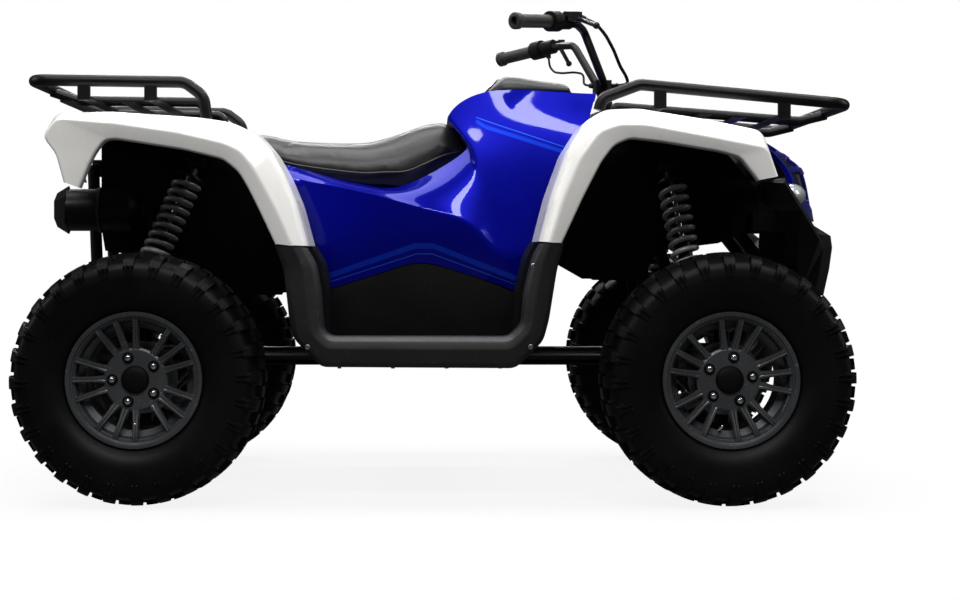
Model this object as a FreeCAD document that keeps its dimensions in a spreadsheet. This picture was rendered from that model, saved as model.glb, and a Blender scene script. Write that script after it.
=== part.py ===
# Utility quad bike, full size: tubular frame, double-arm suspension, two racks, fenders and foot guards.
# Frame of the part: +X to the front, +Y to the rider's left, +Z up. The origin lies on the ground, at the
# middle of the overall length and on the plane of symmetry. Every size is in millimetres.
import FreeCAD, Part
import math
import os

import Sketcher
from FreeCAD import Placement, Rotation, Vector

doc = FreeCAD.newDocument("quad_bike")
sheet = doc.addObject("Spreadsheet::Sheet", "sizes")

# Driving dimensions, written once. Angles are in degrees.
SIZES = [
    # whole machine
    ("overall_length", 2160), ("overall_width", 1180), ("wheelbase", 1475),
    # tyres
    ("tyre_diameter", 635), ("front_tyre_width", 205), ("rear_tyre_width", 254),
    ("lug_height", 12), ("tyre_wall", 9), ("lugs_per_row", 14), ("bead_clearance", 0.4),
    # rims, with the hub and brake disc that turn with them
    ("bead_diameter", 305), ("flange_height", 17), ("flange_thickness", 6), ("barrel_wall", 6),
    ("bead_seat_width", 26), ("well_depth", 18), ("well_slope", 14),
    ("front_rim_width", 165), ("rear_rim_width", 203), ("spoke_depth", 16), ("face_inset", 14),
    ("dish_depth", 12), ("hub_radius", 62), ("hub_boss_radius", 42), ("hub_length", 52),
    ("cap_radius", 37), ("cap_height", 9), ("cap_floor", 5),
    ("disc_radius", 92), ("disc_thickness", 4),
    ("window_inner_radius", 74), ("window_outer_radius", 136), ("spoke_width", 13), ("spoke_pitch", 23),
    # knuckles
    ("spindle_radius", 18), ("spindle_clearance", 0.3), ("kingpin_offset", 62), ("kingpin_height", 88),
    ("kingpin_radius", 17), ("carrier_radius", 30), ("carrier_height", 84), ("boss_height", 28),
    ("seat_clearance", 0.3), ("caliper_slot", 10), ("steering_arm_back", 112), ("steering_arm_in", 40),
    ("steering_arm_height", 392), ("steering_arm_thickness", 10), ("tie_rod_radius", 8),
    # arms, springs and dampers
    ("arm_tube_radius", 11), ("pivot_half_width", 151), ("lower_pivot_height", 335),
    ("upper_pivot_height", 440), ("lower_pivot_spread", 105), ("upper_pivot_spread", 85),
    ("sleeve_radius", 16), ("sleeve_length", 40), ("lug_thickness", 6),
    ("coil_radius", 33), ("wire_radius", 7), ("coil_turns", 9), ("damper_radius", 20), ("rod_radius", 8),
    ("eye_radius", 15), ("eye_half_length", 16), ("seat_drop", 48),
    # frame and drive line
    ("frame_tube_radius", 16), ("cross_tube_radius", 13), ("upright_radius", 14.5), ("stay_radius", 12),
    ("frame_half_width", 118),
    ("frame_floor", 350), ("seat_rail_height", 772), ("upright_offset", 158),
    ("skid_thickness", 5), ("skid_half_width", 138),
    ("engine_length", 430), ("engine_width", 190), ("engine_height", 300), ("engine_back", 225),
    ("shaft_radius", 12), ("boot_radius", 34), ("housing_half_width", 62), ("housing_radius", 56),
    # bodywork
    ("panel_thickness", 6), ("flare_face", 556), ("flare_crease", 566), ("flare_top", 508),
    ("flare_side_edge", 536), ("flare_inner", 268), ("deck_rise", 8), ("deck_crown", 6),
    ("panel_gap", 0.7),
    ("liner_face", 152), ("guard_face", 556), ("guard_inner", 500), ("floor_inner", 262),
    ("floor_height", 400), ("floor_thickness", 12),
    ("cover_foot", 238), ("cover_top", 158), ("cover_thickness", 6),
    # racks
    ("rack_tube_radius", 15), ("inner_tube_radius", 13), ("rack_half_width", 430), ("inner_rail_offset", 200),
    ("front_rack_height", 1062), ("rear_rack_height", 1074), ("front_rack_slope", 50),
    ("inner_rail_drop", 30), ("bar_width", 32), ("bar_thickness", 5), ("post_width", 30), ("rack_bend", 45),
    # steering
    ("stem_radius", 17), ("stem_back", 10), ("stem_top_height", 1092),
    ("stem_reach", 250), ("stem_clearance", 0.5), ("pitman_half_width", 24), ("pitman_height", 402),
    ("clamp_height", 1100), ("bar_radius", 11), ("grip_radius", 17), ("pod_radius", 27),
    ("hose_radius", 4.5), ("cable_radius", 3.2), ("gland_radius", 7), ("hose_bend", 200),
    # tow hitch
    ("ball_hole_radius", 9.75), ("hitch_thickness", 10), ("hitch_height", 418),
]
for row, (alias, value) in enumerate(SIZES, start=1):
    sheet.set("A%d" % row, alias)
    sheet.set("B%d" % row, str(value))
    sheet.setAlias("B%d" % row, alias)
doc.recompute()


def size(alias):
    """The number that the sheet holds under this alias."""
    return float(sheet.get(alias))


# Places that several sub-parts share, worked out from the sheet.
axle_z = size("tyre_diameter") / 2
rear_x = -size("overall_length") / 2 + axle_z
front_x = rear_x + size("wheelbase")
mid_x = (rear_x + front_x) / 2
nose_x = size("overall_length") / 2
front_track = size("overall_width") / 2 - size("front_tyre_width") / 2
rear_track = size("overall_width") / 2 - size("rear_tyre_width") / 2
front_kingpin_y = front_track - size("kingpin_offset")
rear_kingpin_y = rear_track - size("kingpin_offset")
skin = size("panel_thickness")
rail_y = size("frame_half_width")
tube = size("frame_tube_radius")
cross = size("cross_tube_radius")
clear = size("seat_clearance")

# Top line of each deck between the fenders, as (x, z) from back to front.
front_deck_line = [(front_x - 268, 999), (front_x - 221, 999), (front_x - 40, 970), (front_x + 85, 944)]
rear_deck_line = [(rear_x - 200, 988), (rear_x - 67, 991), (rear_x + 155, 976), (rear_x + 205, 966)]


def level(line, x):
    """Height of a line of (x, z) points at x."""
    for (x_a, z_a), (x_b, z_b) in zip(line, line[1:]):
        if x <= x_b:
            break
    return z_a + (z_b - z_a) * (x - x_a) / (x_b - x_a)


parts = []


def keep(label, shape):
    """Adds a finished shape to the document as the sub-part of that label."""
    piece = doc.addObject("Part::Feature", label)
    piece.Label = label
    piece.Shape = shape
    parts.append(piece)
    return piece


def new_body(label):
    body = doc.addObject("PartDesign::Body", label)
    body.Label = label
    parts.append(body)
    return body


def mirrored(shape):
    return shape.mirror(Vector(0, 0, 0), Vector(0, 1, 0))


def both_sides(shape):
    """The shape and its mirror image across the plane of symmetry, as one compound."""
    return Part.makeCompound([shape, mirrored(shape)])


def fuse(shapes):
    """One shape from several that overlap or touch."""
    return shapes[0].fuse(shapes[1:]).removeSplitter()


def rod(start, end, radius):
    """A round bar between two points."""
    along = end - start
    return Part.makeCylinder(radius, along.Length, start, along)


def block(x_span, y_span, z_span):
    corner = Vector(x_span[0], y_span[0], z_span[0])
    return Part.makeBox(x_span[1] - x_span[0], y_span[1] - y_span[0], z_span[1] - z_span[0], corner)


def polygon(points):
    return Part.makePolygon(points + points[:1])


def side_plate(outline, y_from, y_to):
    """A plate cut to an outline of (x, z) points, standing between two planes across the machine."""
    face = Part.Face(polygon([Vector(x, y_from, z) for x, z in outline]))
    return face.extrude(Vector(0, y_to - y_from, 0))


def bent_tube(points, radius, bend):
    """A round bar along straight runs joined by tangent arcs of the radius bend, or less on a short run."""
    edges = []
    last = points[0]
    for before, corner, after in zip(points, points[1:], points[2:]):
        into = (corner - before).normalize()
        out = (after - corner).normalize()
        turn = into.getAngle(out)
        room = 0.48 * min((corner - before).Length, (after - corner).Length)
        setback = min(bend * math.tan(turn / 2), room)
        radius_here = setback / math.tan(turn / 2)
        to_centre = (out - into).normalize()
        middle = corner + to_centre * (radius_here / math.cos(turn / 2) - radius_here)
        start = corner - into * setback
        end = corner + out * setback
        edges.append(Part.LineSegment(last, start).toShape())
        edges.append(Part.Arc(start, middle, end).toShape())
        last = end
    edges.append(Part.LineSegment(last, points[-1]).toShape())
    ring = Part.Wire(Part.makeCircle(radius, points[0], points[1] - points[0]))
    return Part.Wire(edges).makePipeShell([ring], True, False)


def triangle(a, b, c):
    return Part.Face(Part.makePolygon([a, b, c, a]))


def facets(grid, close_rows=False, close_columns=False):
    """Two triangles for each cell of a grid of points; the grid may close on itself either way."""
    rows = len(grid)
    columns = len(grid[0])
    faces = []
    for i in range(rows if close_rows else rows - 1):
        for j in range(columns if close_columns else columns - 1):
            a = grid[i][j]
            b = grid[(i + 1) % rows][j]
            c = grid[(i + 1) % rows][(j + 1) % columns]
            d = grid[i][(j + 1) % columns]
            for corners in ((a, b, c), (a, c, d)):
                if (corners[1] - corners[0]).cross(corners[2] - corners[0]).Length > 1e-6:
                    faces.append(triangle(*corners))
    return faces


def solid_of(faces):
    """The closed solid that a set of faces bounds, turned so that its volume is positive."""
    solid = Part.Solid(Part.Shell(faces))
    if solid.Volume < 0:
        solid.reverse()
    return solid


def formed_sheet(grid, thickness):
    """A sheet of even thickness: the grid is its outer skin, and the inner skin lies along the normals."""
    rows = len(grid)
    columns = len(grid[0])
    inner = []
    for i in range(rows):
        line = []
        for j in range(columns):
            down = grid[min(i + 1, rows - 1)][j] - grid[max(i - 1, 0)][j]
            across = grid[i][min(j + 1, columns - 1)] - grid[i][max(j - 1, 0)]
            line.append(grid[i][j] - down.cross(across).normalize() * thickness)
        inner.append(line)
    rim = [grid[0][j] for j in range(columns)] + [grid[i][-1] for i in range(1, rows)]
    rim += [grid[-1][j] for j in range(columns - 2, -1, -1)] + [grid[i][0] for i in range(rows - 2, 0, -1)]
    rim_in = [inner[0][j] for j in range(columns)] + [inner[i][-1] for i in range(1, rows)]
    rim_in += [inner[-1][j] for j in range(columns - 2, -1, -1)] + [inner[i][0] for i in range(rows - 2, 0, -1)]
    return solid_of(facets(grid) + facets(inner) + facets([rim, rim_in], close_columns=True))


def ringed_solid(rings):
    """A solid skinned over closed rings with equally many points, with a flat fan over each end."""
    faces = facets(rings, close_columns=True)
    for ring in (rings[0], rings[-1]):
        middle = sum(ring, Vector()) * (1 / len(ring))
        faces += [triangle(middle, a, b) for a, b in zip(ring, ring[1:] + ring[:1])]
    return solid_of(faces)


def plane_of(body, role):
    return [f for f in body.Origin.OriginFeatures if f.Role == role][0]


def sketch_on(body, name, role, offset="0"):
    """A sketch on one of the body's own planes, moved along that plane's normal by an expression."""
    sketch = body.newObject("Sketcher::SketchObject", name)
    sketch.AttachmentSupport = [(plane_of(body, role), "")]
    sketch.MapMode = "FlatFace"
    sketch.setExpression(".AttachmentOffset.Base.z", offset)
    return sketch


def outline(sketch, corners):
    """A closed outline through corners, each a pair of expressions that the sheet drives."""
    spots = [Vector(float(sheet.evalExpression(x)), float(sheet.evalExpression(y)), 0) for x, y in corners]
    first = sketch.GeometryCount
    count = len(spots)
    for i in range(count):
        sketch.addGeometry(Part.LineSegment(spots[i], spots[(i + 1) % count]), False)
    for i in range(count):
        sketch.addConstraint(Sketcher.Constraint("Coincident", first + i, 2, first + (i + 1) % count, 1))
    for i, (x, y) in enumerate(corners):
        for kind, expression, value in (("DistanceX", x, spots[i].x), ("DistanceY", y, spots[i].y)):
            number = sketch.addConstraint(Sketcher.Constraint(kind, -1, 1, first + i, 1, value))
            sketch.setExpression("Constraints[%d]" % number, expression)


def side_pad(body, name, corners, inner, outer, side):
    """Pads an (x, z) outline from the plane y = inner to y = outer; side is 1 right and -1 left."""
    start = inner if side > 0 else "-(%s)" % outer
    sketch = sketch_on(body, name + "_outline", "XZ_Plane", start)
    outline(sketch, corners)
    pad = body.newObject("PartDesign::Pad", name)
    pad.Profile = sketch
    pad.setExpression("Length", "(%s) - (%s)" % (outer, inner))
    body.Tip = pad
    return pad


# Expressions for places along X, for the sketches.
REAR = "(sizes.tyre_diameter - sizes.overall_length) / 2"
FRONT = "(sizes.tyre_diameter - sizes.overall_length) / 2 + sizes.wheelbase"
MIDDLE = "(sizes.tyre_diameter - sizes.overall_length + sizes.wheelbase) / 2"


def from_place(place, points):
    """Outline corners given as offsets along X from a place, with heights above the ground."""
    return [("%s + %g" % (place, x), "%g" % z) for x, z in points]


# Tyres. The section runs over beads, side walls, shoulders and crown; lugs stand up on the left and on the
# right of the crown in turn, with a groove between one lug and the next.
def tyre(label, width_alias, rim_alias, track, side):
    half = size(width_alias) / 2
    lug = size("lug_height")
    wall = size("tyre_wall")
    pitch = 360 / size("lugs_per_row")
    # Corners of the many-sided rings stand out, so that their flats keep the true radius.
    corner = 1 / math.cos(math.radians(0.21 * pitch))
    bead_r = (size("bead_diameter") / 2 + size("bead_clearance")) * corner
    bead_y = size(rim_alias) / 2 - size("flange_thickness") - size("bead_clearance")
    lip_r = bead_r + size("flange_height") + 1.5
    crown = axle_z * corner
    rings = []
    for k in range(int(size("lugs_per_row"))):
        for start, left_up in ((0, True), (0.42, True), (0.5, False), (0.92, False)):
            drop_left = 0 if left_up else lug
            drop_right = lug if left_up else 0
            section = [
                (bead_r, -bead_y), (lip_r, -bead_y), (bead_r + 62, -half), (crown - 40, -half + 3),
                (crown - 11 - drop_left, -0.82 * half), (crown - drop_left, -0.05 * half),
                (crown - drop_right, 0.05 * half), (crown - 11 - drop_right, 0.82 * half),
                (crown - 40, half - 3), (bead_r + 62, half), (lip_r, bead_y), (bead_r, bead_y),
                (crown - lug - 2 * wall, 0),
            ]
            angle = math.radians((k + start - 0.21) * pitch - 90)
            rings.append([Vector(r * math.cos(angle), y, r * math.sin(angle)) for r, y in section])
    piece = keep(label, solid_of(facets(rings, close_rows=True, close_columns=True)))
    place_wheel(piece, label, track, side)


def place_wheel(piece, label, track, side):
    """Sets a wheel piece, made with its outer face to +Y, at its axle on one side of the machine."""
    axle_x = front_x if label.startswith("front") else rear_x
    turn = Rotation(Vector(0, 0, 1), 180 if side > 0 else 0)
    piece.Placement = Placement(Vector(axle_x, -side * track, axle_z), turn)


# Rims. One revolved casting: flanges, bead seats, well, spoked disc, hub, closed centre cap and brake disc.
def rim(label, width_alias, track, side):
    body = new_body(label)
    half = "sizes.%s / 2" % width_alias
    seat_r = "sizes.bead_diameter / 2"
    flange_r = seat_r + " + sizes.flange_height"
    lip = half + " - sizes.flange_thickness"
    seat_end = lip + " - sizes.bead_seat_width"
    well = seat_end + " - sizes.well_slope"
    well_r = seat_r + " - sizes.well_depth"
    face = half + " - sizes.face_inset"
    back = face + " - sizes.spoke_depth"
    hub_face = face + " - sizes.dish_depth"
    hub_back = back + " - sizes.dish_depth"
    boss_end = hub_back + " - sizes.hub_length"
    bore = "sizes.spindle_radius + sizes.spindle_clearance"
    wall = " - sizes.barrel_wall"
    section = sketch_on(body, label + "_section", "XY_Plane")
    outline(section, [
        (flange_r, half), (flange_r, lip), (seat_r, lip), (seat_r, seat_end), (well_r, well),
        (well_r, "-(%s)" % well), (seat_r, "-(%s)" % seat_end), (seat_r, "-(%s)" % lip),
        (flange_r, "-(%s)" % lip), (flange_r, "-%s" % half), (seat_r + wall, "-%s" % half),
        (seat_r + wall, "-(%s)" % seat_end), (well_r + wall, "-(%s)" % well), (well_r + wall, well),
        (seat_r + wall, seat_end), (seat_r + wall, back), ("sizes.hub_radius", hub_back),
        ("sizes.hub_boss_radius", hub_back), ("sizes.hub_boss_radius", boss_end),
        ("sizes.disc_radius", boss_end), ("sizes.disc_radius", boss_end + " - sizes.disc_thickness"),
        (bore, boss_end + " - sizes.disc_thickness"), (bore, hub_face + " - sizes.cap_floor"),
        ("0", hub_face + " - sizes.cap_floor"), ("0", hub_face + " + sizes.cap_height"),
        ("sizes.cap_radius", hub_face + " + sizes.cap_height"), ("sizes.cap_radius", hub_face),
        ("sizes.hub_radius", hub_face), (seat_r + wall, face), (seat_r + wall, half),
    ])
    turned = body.newObject("PartDesign::Revolution", label + "_turned")
    turned.Profile = section
    turned.ReferenceAxis = (section, ["V_Axis"])
    turned.Angle = 360
    body.Tip = turned
    doc.recompute()
    whole = body.Shape.Volume
    # Three windows between the spokes of one group and the next; the group repeats five times.
    windows = sketch_on(body, label + "_windows", "XZ_Plane", "-(%s + 1)" % face)
    edges = (("sizes.spoke_pitch * -1deg", "0deg"), ("0deg", "sizes.spoke_pitch * 1deg"),
             ("sizes.spoke_pitch * 1deg", "72deg - sizes.spoke_pitch * 1deg"))
    for start, end in edges:
        corners = []
        for radius, angle, sign in (("inner", start, "+"), ("outer", start, "+"), ("outer", end, "-"),
                                    ("inner", end, "-")):
            r = "sizes.window_%s_radius" % radius
            turn = "(90deg + %s %s asin(sizes.spoke_width / 2 / %s))" % (angle, sign, r)
            corners.append(("%s * cos%s" % (r, turn), "%s * sin%s" % (r, turn)))
        outline(windows, corners)
    cut = body.newObject("PartDesign::Pocket", label + "_window_cut")
    cut.Profile = windows
    cut.Reversed = True
    cut.setExpression("Length", "sizes.spoke_depth + sizes.dish_depth + 2")
    around = body.newObject("PartDesign::PolarPattern", label + "_window_pattern")
    around.Originals = [cut]
    around.Axis = (windows, ["N_Axis"])
    around.Angle = 360
    around.Occurrences = 5
    body.Tip = around
    doc.recompute()
    assert body.Shape.Volume < 0.9 * whole, "the windows of %s cut nothing" % label
    place_wheel(body, label, track, side)


for side_name, side in (("right", 1), ("left", -1)):
    tyre("front_%s_tyre" % side_name, "front_tyre_width", "front_rim_width", front_track, side)
    tyre("rear_%s_tyre" % side_name, "rear_tyre_width", "rear_rim_width", rear_track, side)
    rim("front_%s_rim" % side_name, "front_rim_width", front_track, side)
    rim("rear_%s_rim" % side_name, "rear_rim_width", rear_track, side)


# Knuckles. A carrier between the two arm bosses holds the spindle and the brake caliper; those in front
# also have a steering arm to the rear. The shape is made at the left wheel, with y measured outwards.
def knuckle(axle_x, kingpin_y, rim_alias, steered):
    pin = Vector(axle_x, kingpin_y, axle_z)
    reach = size("kingpin_height")
    post = rod(pin - Vector(0, 0, reach), pin + Vector(0, 0, reach), size("kingpin_radius"))
    carrier_half = size("carrier_height") / 2
    carrier = rod(pin - Vector(0, 0, carrier_half), pin + Vector(0, 0, carrier_half), size("carrier_radius"))
    hub_face = size(rim_alias) / 2 - size("face_inset") - size("dish_depth")
    spindle_end = kingpin_y + size("kingpin_offset") + hub_face - size("cap_floor") - 2
    spindle = rod(pin, Vector(axle_x, spindle_end, axle_z), size("spindle_radius"))
    disc_y = hub_face - size("spoke_depth") - size("hub_length") - size("disc_thickness") / 2
    disc_y += kingpin_y + size("kingpin_offset")
    slot = size("caliper_slot") / 2
    caliper = block((axle_x - 98, axle_x - 58), (disc_y - 26, disc_y + 20), (axle_z + 14, axle_z + 66))
    caliper = caliper.cut(block((axle_x - 99, axle_x - 40), (disc_y - slot, disc_y + slot),
                                (axle_z, axle_z + 80)))
    caliper = caliper.fuse(block((axle_x - 98, axle_x - 93), (disc_y - slot - 1, disc_y + slot + 1),
                                 (axle_z + 14, axle_z + 66)))
    bracket = block((axle_x - 80, axle_x), (kingpin_y - 8, kingpin_y + 8), (axle_z + 20, axle_z + 40))
    hanger = block((axle_x - 80, axle_x - 60), (kingpin_y - 8, disc_y - slot), (axle_z + 20, axle_z + 40))
    pieces = [post, carrier, spindle, caliper, bracket, hanger]
    if steered:
        arm_low = size("steering_arm_height")
        arm_high = arm_low + size("steering_arm_thickness")
        tip = Vector(axle_x - size("steering_arm_back"), kingpin_y - size("steering_arm_in"), arm_low)
        root = Vector(axle_x, kingpin_y, arm_low)
        along = (tip - root).normalize()
        across = Vector(-along.y, along.x, 0) * 13
        plate = Part.Face(polygon([root + across, root - across, tip - across, tip + across]))
        plate = plate.extrude(Vector(0, 0, arm_high - arm_low))
        pieces += [plate, rod(tip, Vector(tip.x, tip.y, arm_high), 13)]
        pieces.append(rod(Vector(axle_x, kingpin_y, axle_z), Vector(axle_x, kingpin_y, arm_high), 18))
    return fuse(pieces)


front_knuckle = knuckle(front_x, front_kingpin_y, "front_rim_width", True)
keep("front_left_knuckle", front_knuckle)
keep("front_right_knuckle", mirrored(front_knuckle))
keep("rear_knuckles", both_sides(knuckle(rear_x, rear_kingpin_y, "rear_rim_width", False)))

# Tie rods. Each hangs by a stud under the steering arm of its knuckle and runs in to the arm of the stem.
tie_rod_z = size("steering_arm_height") - clear - 1 - size("tie_rod_radius") - 1
outer_pin = Vector(front_x - size("steering_arm_back"), front_kingpin_y - size("steering_arm_in"), tie_rod_z)
inner_pin = Vector(front_x - size("stem_back") - size("steering_arm_back"),
                   size("pitman_half_width"), tie_rod_z)
eye = size("tie_rod_radius")
stud_top = Vector(outer_pin.x, outer_pin.y, size("steering_arm_height") - clear)
tie_rod = fuse([
    rod(outer_pin, inner_pin, eye),
    rod(outer_pin - Vector(0, 0, eye + 1), outer_pin + Vector(0, 0, eye + 1), 12),
    rod(inner_pin - Vector(0, 0, eye + 1), inner_pin + Vector(0, 0, eye + 1), 12),
    rod(outer_pin, stud_top, 6),
])
keep("left_tie_rod", tie_rod)
keep("right_tie_rod", mirrored(tie_rod))


# Arms. Two tubes run from sleeves at the frame to one boss; the boss of the lower arm carries the knuckle
# from below and that of the upper arm holds it from above.
def arm(axle_x, kingpin_y, spread, pivot_z, boss_z):
    boss = Vector(axle_x, kingpin_y, boss_z)
    # The tubes meet the boss on its half away from the knuckle.
    away = 0.3 * size("boss_height") * (1 if boss_z > axle_z else -1)
    joint = boss + Vector(0, 0, away)
    low = boss - Vector(0, 0, size("boss_height") / 2)
    pieces = [rod(low, low + Vector(0, 0, size("boss_height")), size("kingpin_radius") + 3)]
    for way in (-1, 1):
        pivot = Vector(axle_x + way * spread, size("pivot_half_width"), pivot_z)
        half = Vector(size("sleeve_length") / 2, 0, 0)
        pieces.append(rod(pivot - half, pivot + half, size("sleeve_radius")))
        pieces.append(rod(pivot, joint, size("arm_tube_radius")))
    brace_at = 0.45
    span = 2 * spread * (1 - brace_at)
    brace_y = size("pivot_half_width") + brace_at * (kingpin_y - size("pivot_half_width"))
    brace_z = pivot_z + brace_at * (boss_z - pivot_z)
    brace = Vector(axle_x, brace_y, brace_z)
    pieces.append(rod(brace - Vector(span / 2, 0, 0), brace + Vector(span / 2, 0, 0), 9))
    return fuse(pieces)


def arm_pair(axle_x, kingpin_y):
    lower_boss = axle_z - size("kingpin_height") - clear - size("boss_height") / 2
    upper_boss = axle_z + size("kingpin_height") + clear + size("boss_height") / 2
    lower = arm(axle_x, kingpin_y, size("lower_pivot_spread"), size("lower_pivot_height"), lower_boss)
    upper = arm(axle_x, kingpin_y, size("upper_pivot_spread"), size("upper_pivot_height"), upper_boss)
    return lower, upper


front_lower, front_upper = arm_pair(front_x, front_kingpin_y)
rear_lower, rear_upper = arm_pair(rear_x, rear_kingpin_y)

# Where the eyes of each spring leg sit: the lower one over the upper arm, the upper one at the frame.
front_leg = (Vector(front_x - 44, 322, 470), Vector(front_x - 104, 212, 864))
rear_leg = (Vector(rear_x - 60, 316, 472), Vector(rear_x + 104, 205, 872))


def leg_tower(leg, arm_shape, foot):
    """The arm with a post and a cradle that reach up to the lower eye of a spring leg."""
    eye_at = leg[0]
    half = size("eye_half_length") + 2
    top = eye_at.z - size("eye_radius") - clear
    tower = rod(foot, Vector(eye_at.x, eye_at.y, top - 9), 9)
    cradle = block((eye_at.x - half, eye_at.x + half), (eye_at.y - 16, eye_at.y + 16), (top - 9, top))
    return fuse([arm_shape, tower, cradle])


front_upper = leg_tower(front_leg, front_upper, Vector(front_x - 32, 320, 424))
rear_upper = leg_tower(rear_leg, rear_upper, Vector(rear_x - 29, 314, 424))
keep("front_arms", Part.makeCompound([front_lower, front_upper, mirrored(front_lower), mirrored(front_upper)]))
keep("rear_arms", Part.makeCompound([rear_lower, rear_upper, mirrored(rear_lower), mirrored(rear_upper)]))


# Spring legs. The damper has an eye at each end, a body below and a rod above, and a seat for the coil at
# both ends. The coil's wire follows a helix, worked out turn by turn with a six-sided section.
def damper(low, high):
    along = (high - low).normalize()
    length = (high - low).Length
    body_end = low + along * (0.5 * length)
    lower_seat = low + along * (0.30 * length)
    upper_seat = high - along * size("seat_drop")
    eye_half = Vector(size("eye_half_length"), 0, 0)
    return fuse([
        rod(low - eye_half, low + eye_half, size("eye_radius")),
        rod(high - eye_half, high + eye_half, size("eye_radius")),
        rod(low, body_end, size("damper_radius")), rod(low, high, size("rod_radius")),
        rod(lower_seat - along * 8, lower_seat, size("coil_radius") + size("wire_radius")),
        rod(upper_seat, upper_seat + along * 8, size("coil_radius") + size("wire_radius")),
    ])


def coil(low, high):
    along = (high - low).normalize()
    length = (high - low).Length
    wire = size("wire_radius")
    end_room = wire * math.sin(math.pi / 3) + clear
    start = 0.30 * length + end_room
    travel = length - size("seat_drop") - end_room - start
    side = along.cross(Vector(1, 0, 0)).normalize()
    other = along.cross(side)
    steps = int(size("coil_turns") * 12)
    rings = []
    for k in range(steps + 1):
        turn = 2 * math.pi * size("coil_turns") * k / steps
        outward = side * math.cos(turn) + other * math.sin(turn)
        centre = low + along * (start + travel * k / steps) + outward * size("coil_radius")
        ring = []
        for corner in range(6):
            lean = math.pi * corner / 3
            ring.append(centre + outward * (wire * math.cos(lean)) + along * (wire * math.sin(lean)))
        rings.append(ring)
    return ringed_solid(rings)


dampers = [damper(*leg) for leg in (front_leg, rear_leg)]
coils = [coil(*leg) for leg in (front_leg, rear_leg)]
keep("dampers", Part.makeCompound(dampers + [mirrored(s) for s in dampers]))
keep("coil_springs", Part.makeCompound(coils + [mirrored(s) for s in coils]))

# Frame. On each side a floor rail sweeps up at both ends to meet a seat rail, with a braced upright between
# them at each axle; pairs of lugs hold the sleeves of the arms and the upper eyes of the spring legs. Cross
# members join the sides. Pieces that meet are apart by the seat clearance.
floor_z = size("frame_floor")
rail_z = size("seat_rail_height")
post_dx = size("upright_offset")
tail_x = rear_x - 190
bulkhead_x = front_x + 205
bulkhead_bar_x = bulkhead_x - 8


def on_rail(x, z, y=rail_y):
    return Vector(x, y, z)


def lug_pair(pin, half_length, back_y, height):
    """Two plates, one at each end of a sleeve or eye that lies along X, reaching in to the frame."""
    plates = []
    for way in (-1, 1):
        start = pin.x + way * (half_length + clear)
        end = start + way * size("lug_thickness")
        plates.append(block((min(start, end), max(start, end)), (back_y, pin.y + 15),
                            (pin.z - height / 2, pin.z + height / 2)))
    return plates


def rail_pair(points, radius):
    """A rail, and the room it takes with the seat clearance round it and past its ends."""
    before = (points[0] - points[1]).normalize() * clear
    after = (points[-1] - points[-2]).normalize() * clear
    longer = [points[0] + before] + points[1:-1] + [points[-1] + after]
    return bent_tube(points, radius, 70), bent_tube(longer, radius + clear, 70)


def axle_lugs(axle_x, spread, height, plate_height):
    """The two pairs of lugs of one arm on the left side."""
    plates = []
    for way in (-1, 1):
        pin = Vector(axle_x + way * size(spread), size("pivot_half_width"), size(height))
        plates += lug_pair(pin, size("sleeve_length") / 2, rail_y, plate_height)
    return plates


floor_rail, floor_room = rail_pair([
    on_rail(tail_x, 874), on_rail(tail_x + 12, 560), on_rail(rear_x - 140, floor_z),
    on_rail(front_x + 150, floor_z), on_rail(bulkhead_x, 560), on_rail(front_x - 20, 842),
], tube)
seat_rail, seat_room = rail_pair([
    on_rail(tail_x, 874), on_rail(rear_x + 150, 872), on_rail(rear_x + 330, rail_z),
    on_rail(mid_x + 130, rail_z), on_rail(front_x - 240, 900), on_rail(front_x - 20, 842),
], tube - 1)


def braced_upright(axle_x, upright_x, brace_x, rail_height):
    """An upright between the rails, and a brace from it that carries the lugs of the upper arm."""
    brace_z = size("upper_pivot_height")
    post = rod(on_rail(upright_x, floor_z), on_rail(upright_x, rail_height), size("upright_radius"))
    brace = rod(on_rail(upright_x, brace_z), on_rail(brace_x, brace_z), cross)
    lugs = axle_lugs(axle_x, "upper_pivot_spread", "upper_pivot_height", 30)
    return fuse([post, brace] + lugs).cut([floor_room, seat_room])


lower_loop = [floor_rail]
upper_loop = [seat_rail.cut(floor_room)]
for axle_x, leg in ((front_x, front_leg), (rear_x, rear_leg)):
    lower_loop += axle_lugs(axle_x, "lower_pivot_spread", "lower_pivot_height", 34)
    upper_loop += lug_pair(leg[1], size("eye_half_length"), rail_y - 4, 30)
one_side = [
    fuse(lower_loop), braced_upright(front_x, front_x - post_dx, front_x + 178, 880),
    braced_upright(rear_x, rear_x + post_dx, rear_x - 158, 868),
]

# The stem leans back; its two bearings are blocks between the rails, bored along its axis.
stem_base = Vector(front_x - size("stem_back"), 0, size("pitman_height"))
stem_top = Vector(stem_base.x - size("stem_reach"), 0, size("stem_top_height"))
stem_axis = (stem_top - stem_base).normalize()


def on_stem(z):
    return stem_base + stem_axis * ((z - stem_base.z) / stem_axis.z)


def stay_up(x, line):
    """A post from the seat rail to the underside of a deck."""
    r = size("stay_radius")
    under = min(level(line, x - r), level(line, x + r)) + size("deck_crown") - 1.03 * skin - clear
    return rod(on_rail(x, 846), on_rail(x, under), r)


upper_loop += [stay_up(rear_x - 150, rear_deck_line), stay_up(rear_x + 120, rear_deck_line),
               stay_up(front_x - 180, front_deck_line), stay_up(front_x - 50, front_deck_line)]
one_side.append(fuse(upper_loop))
keep("side_frames", Part.makeCompound(one_side + [mirrored(s) for s in one_side]))

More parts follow.
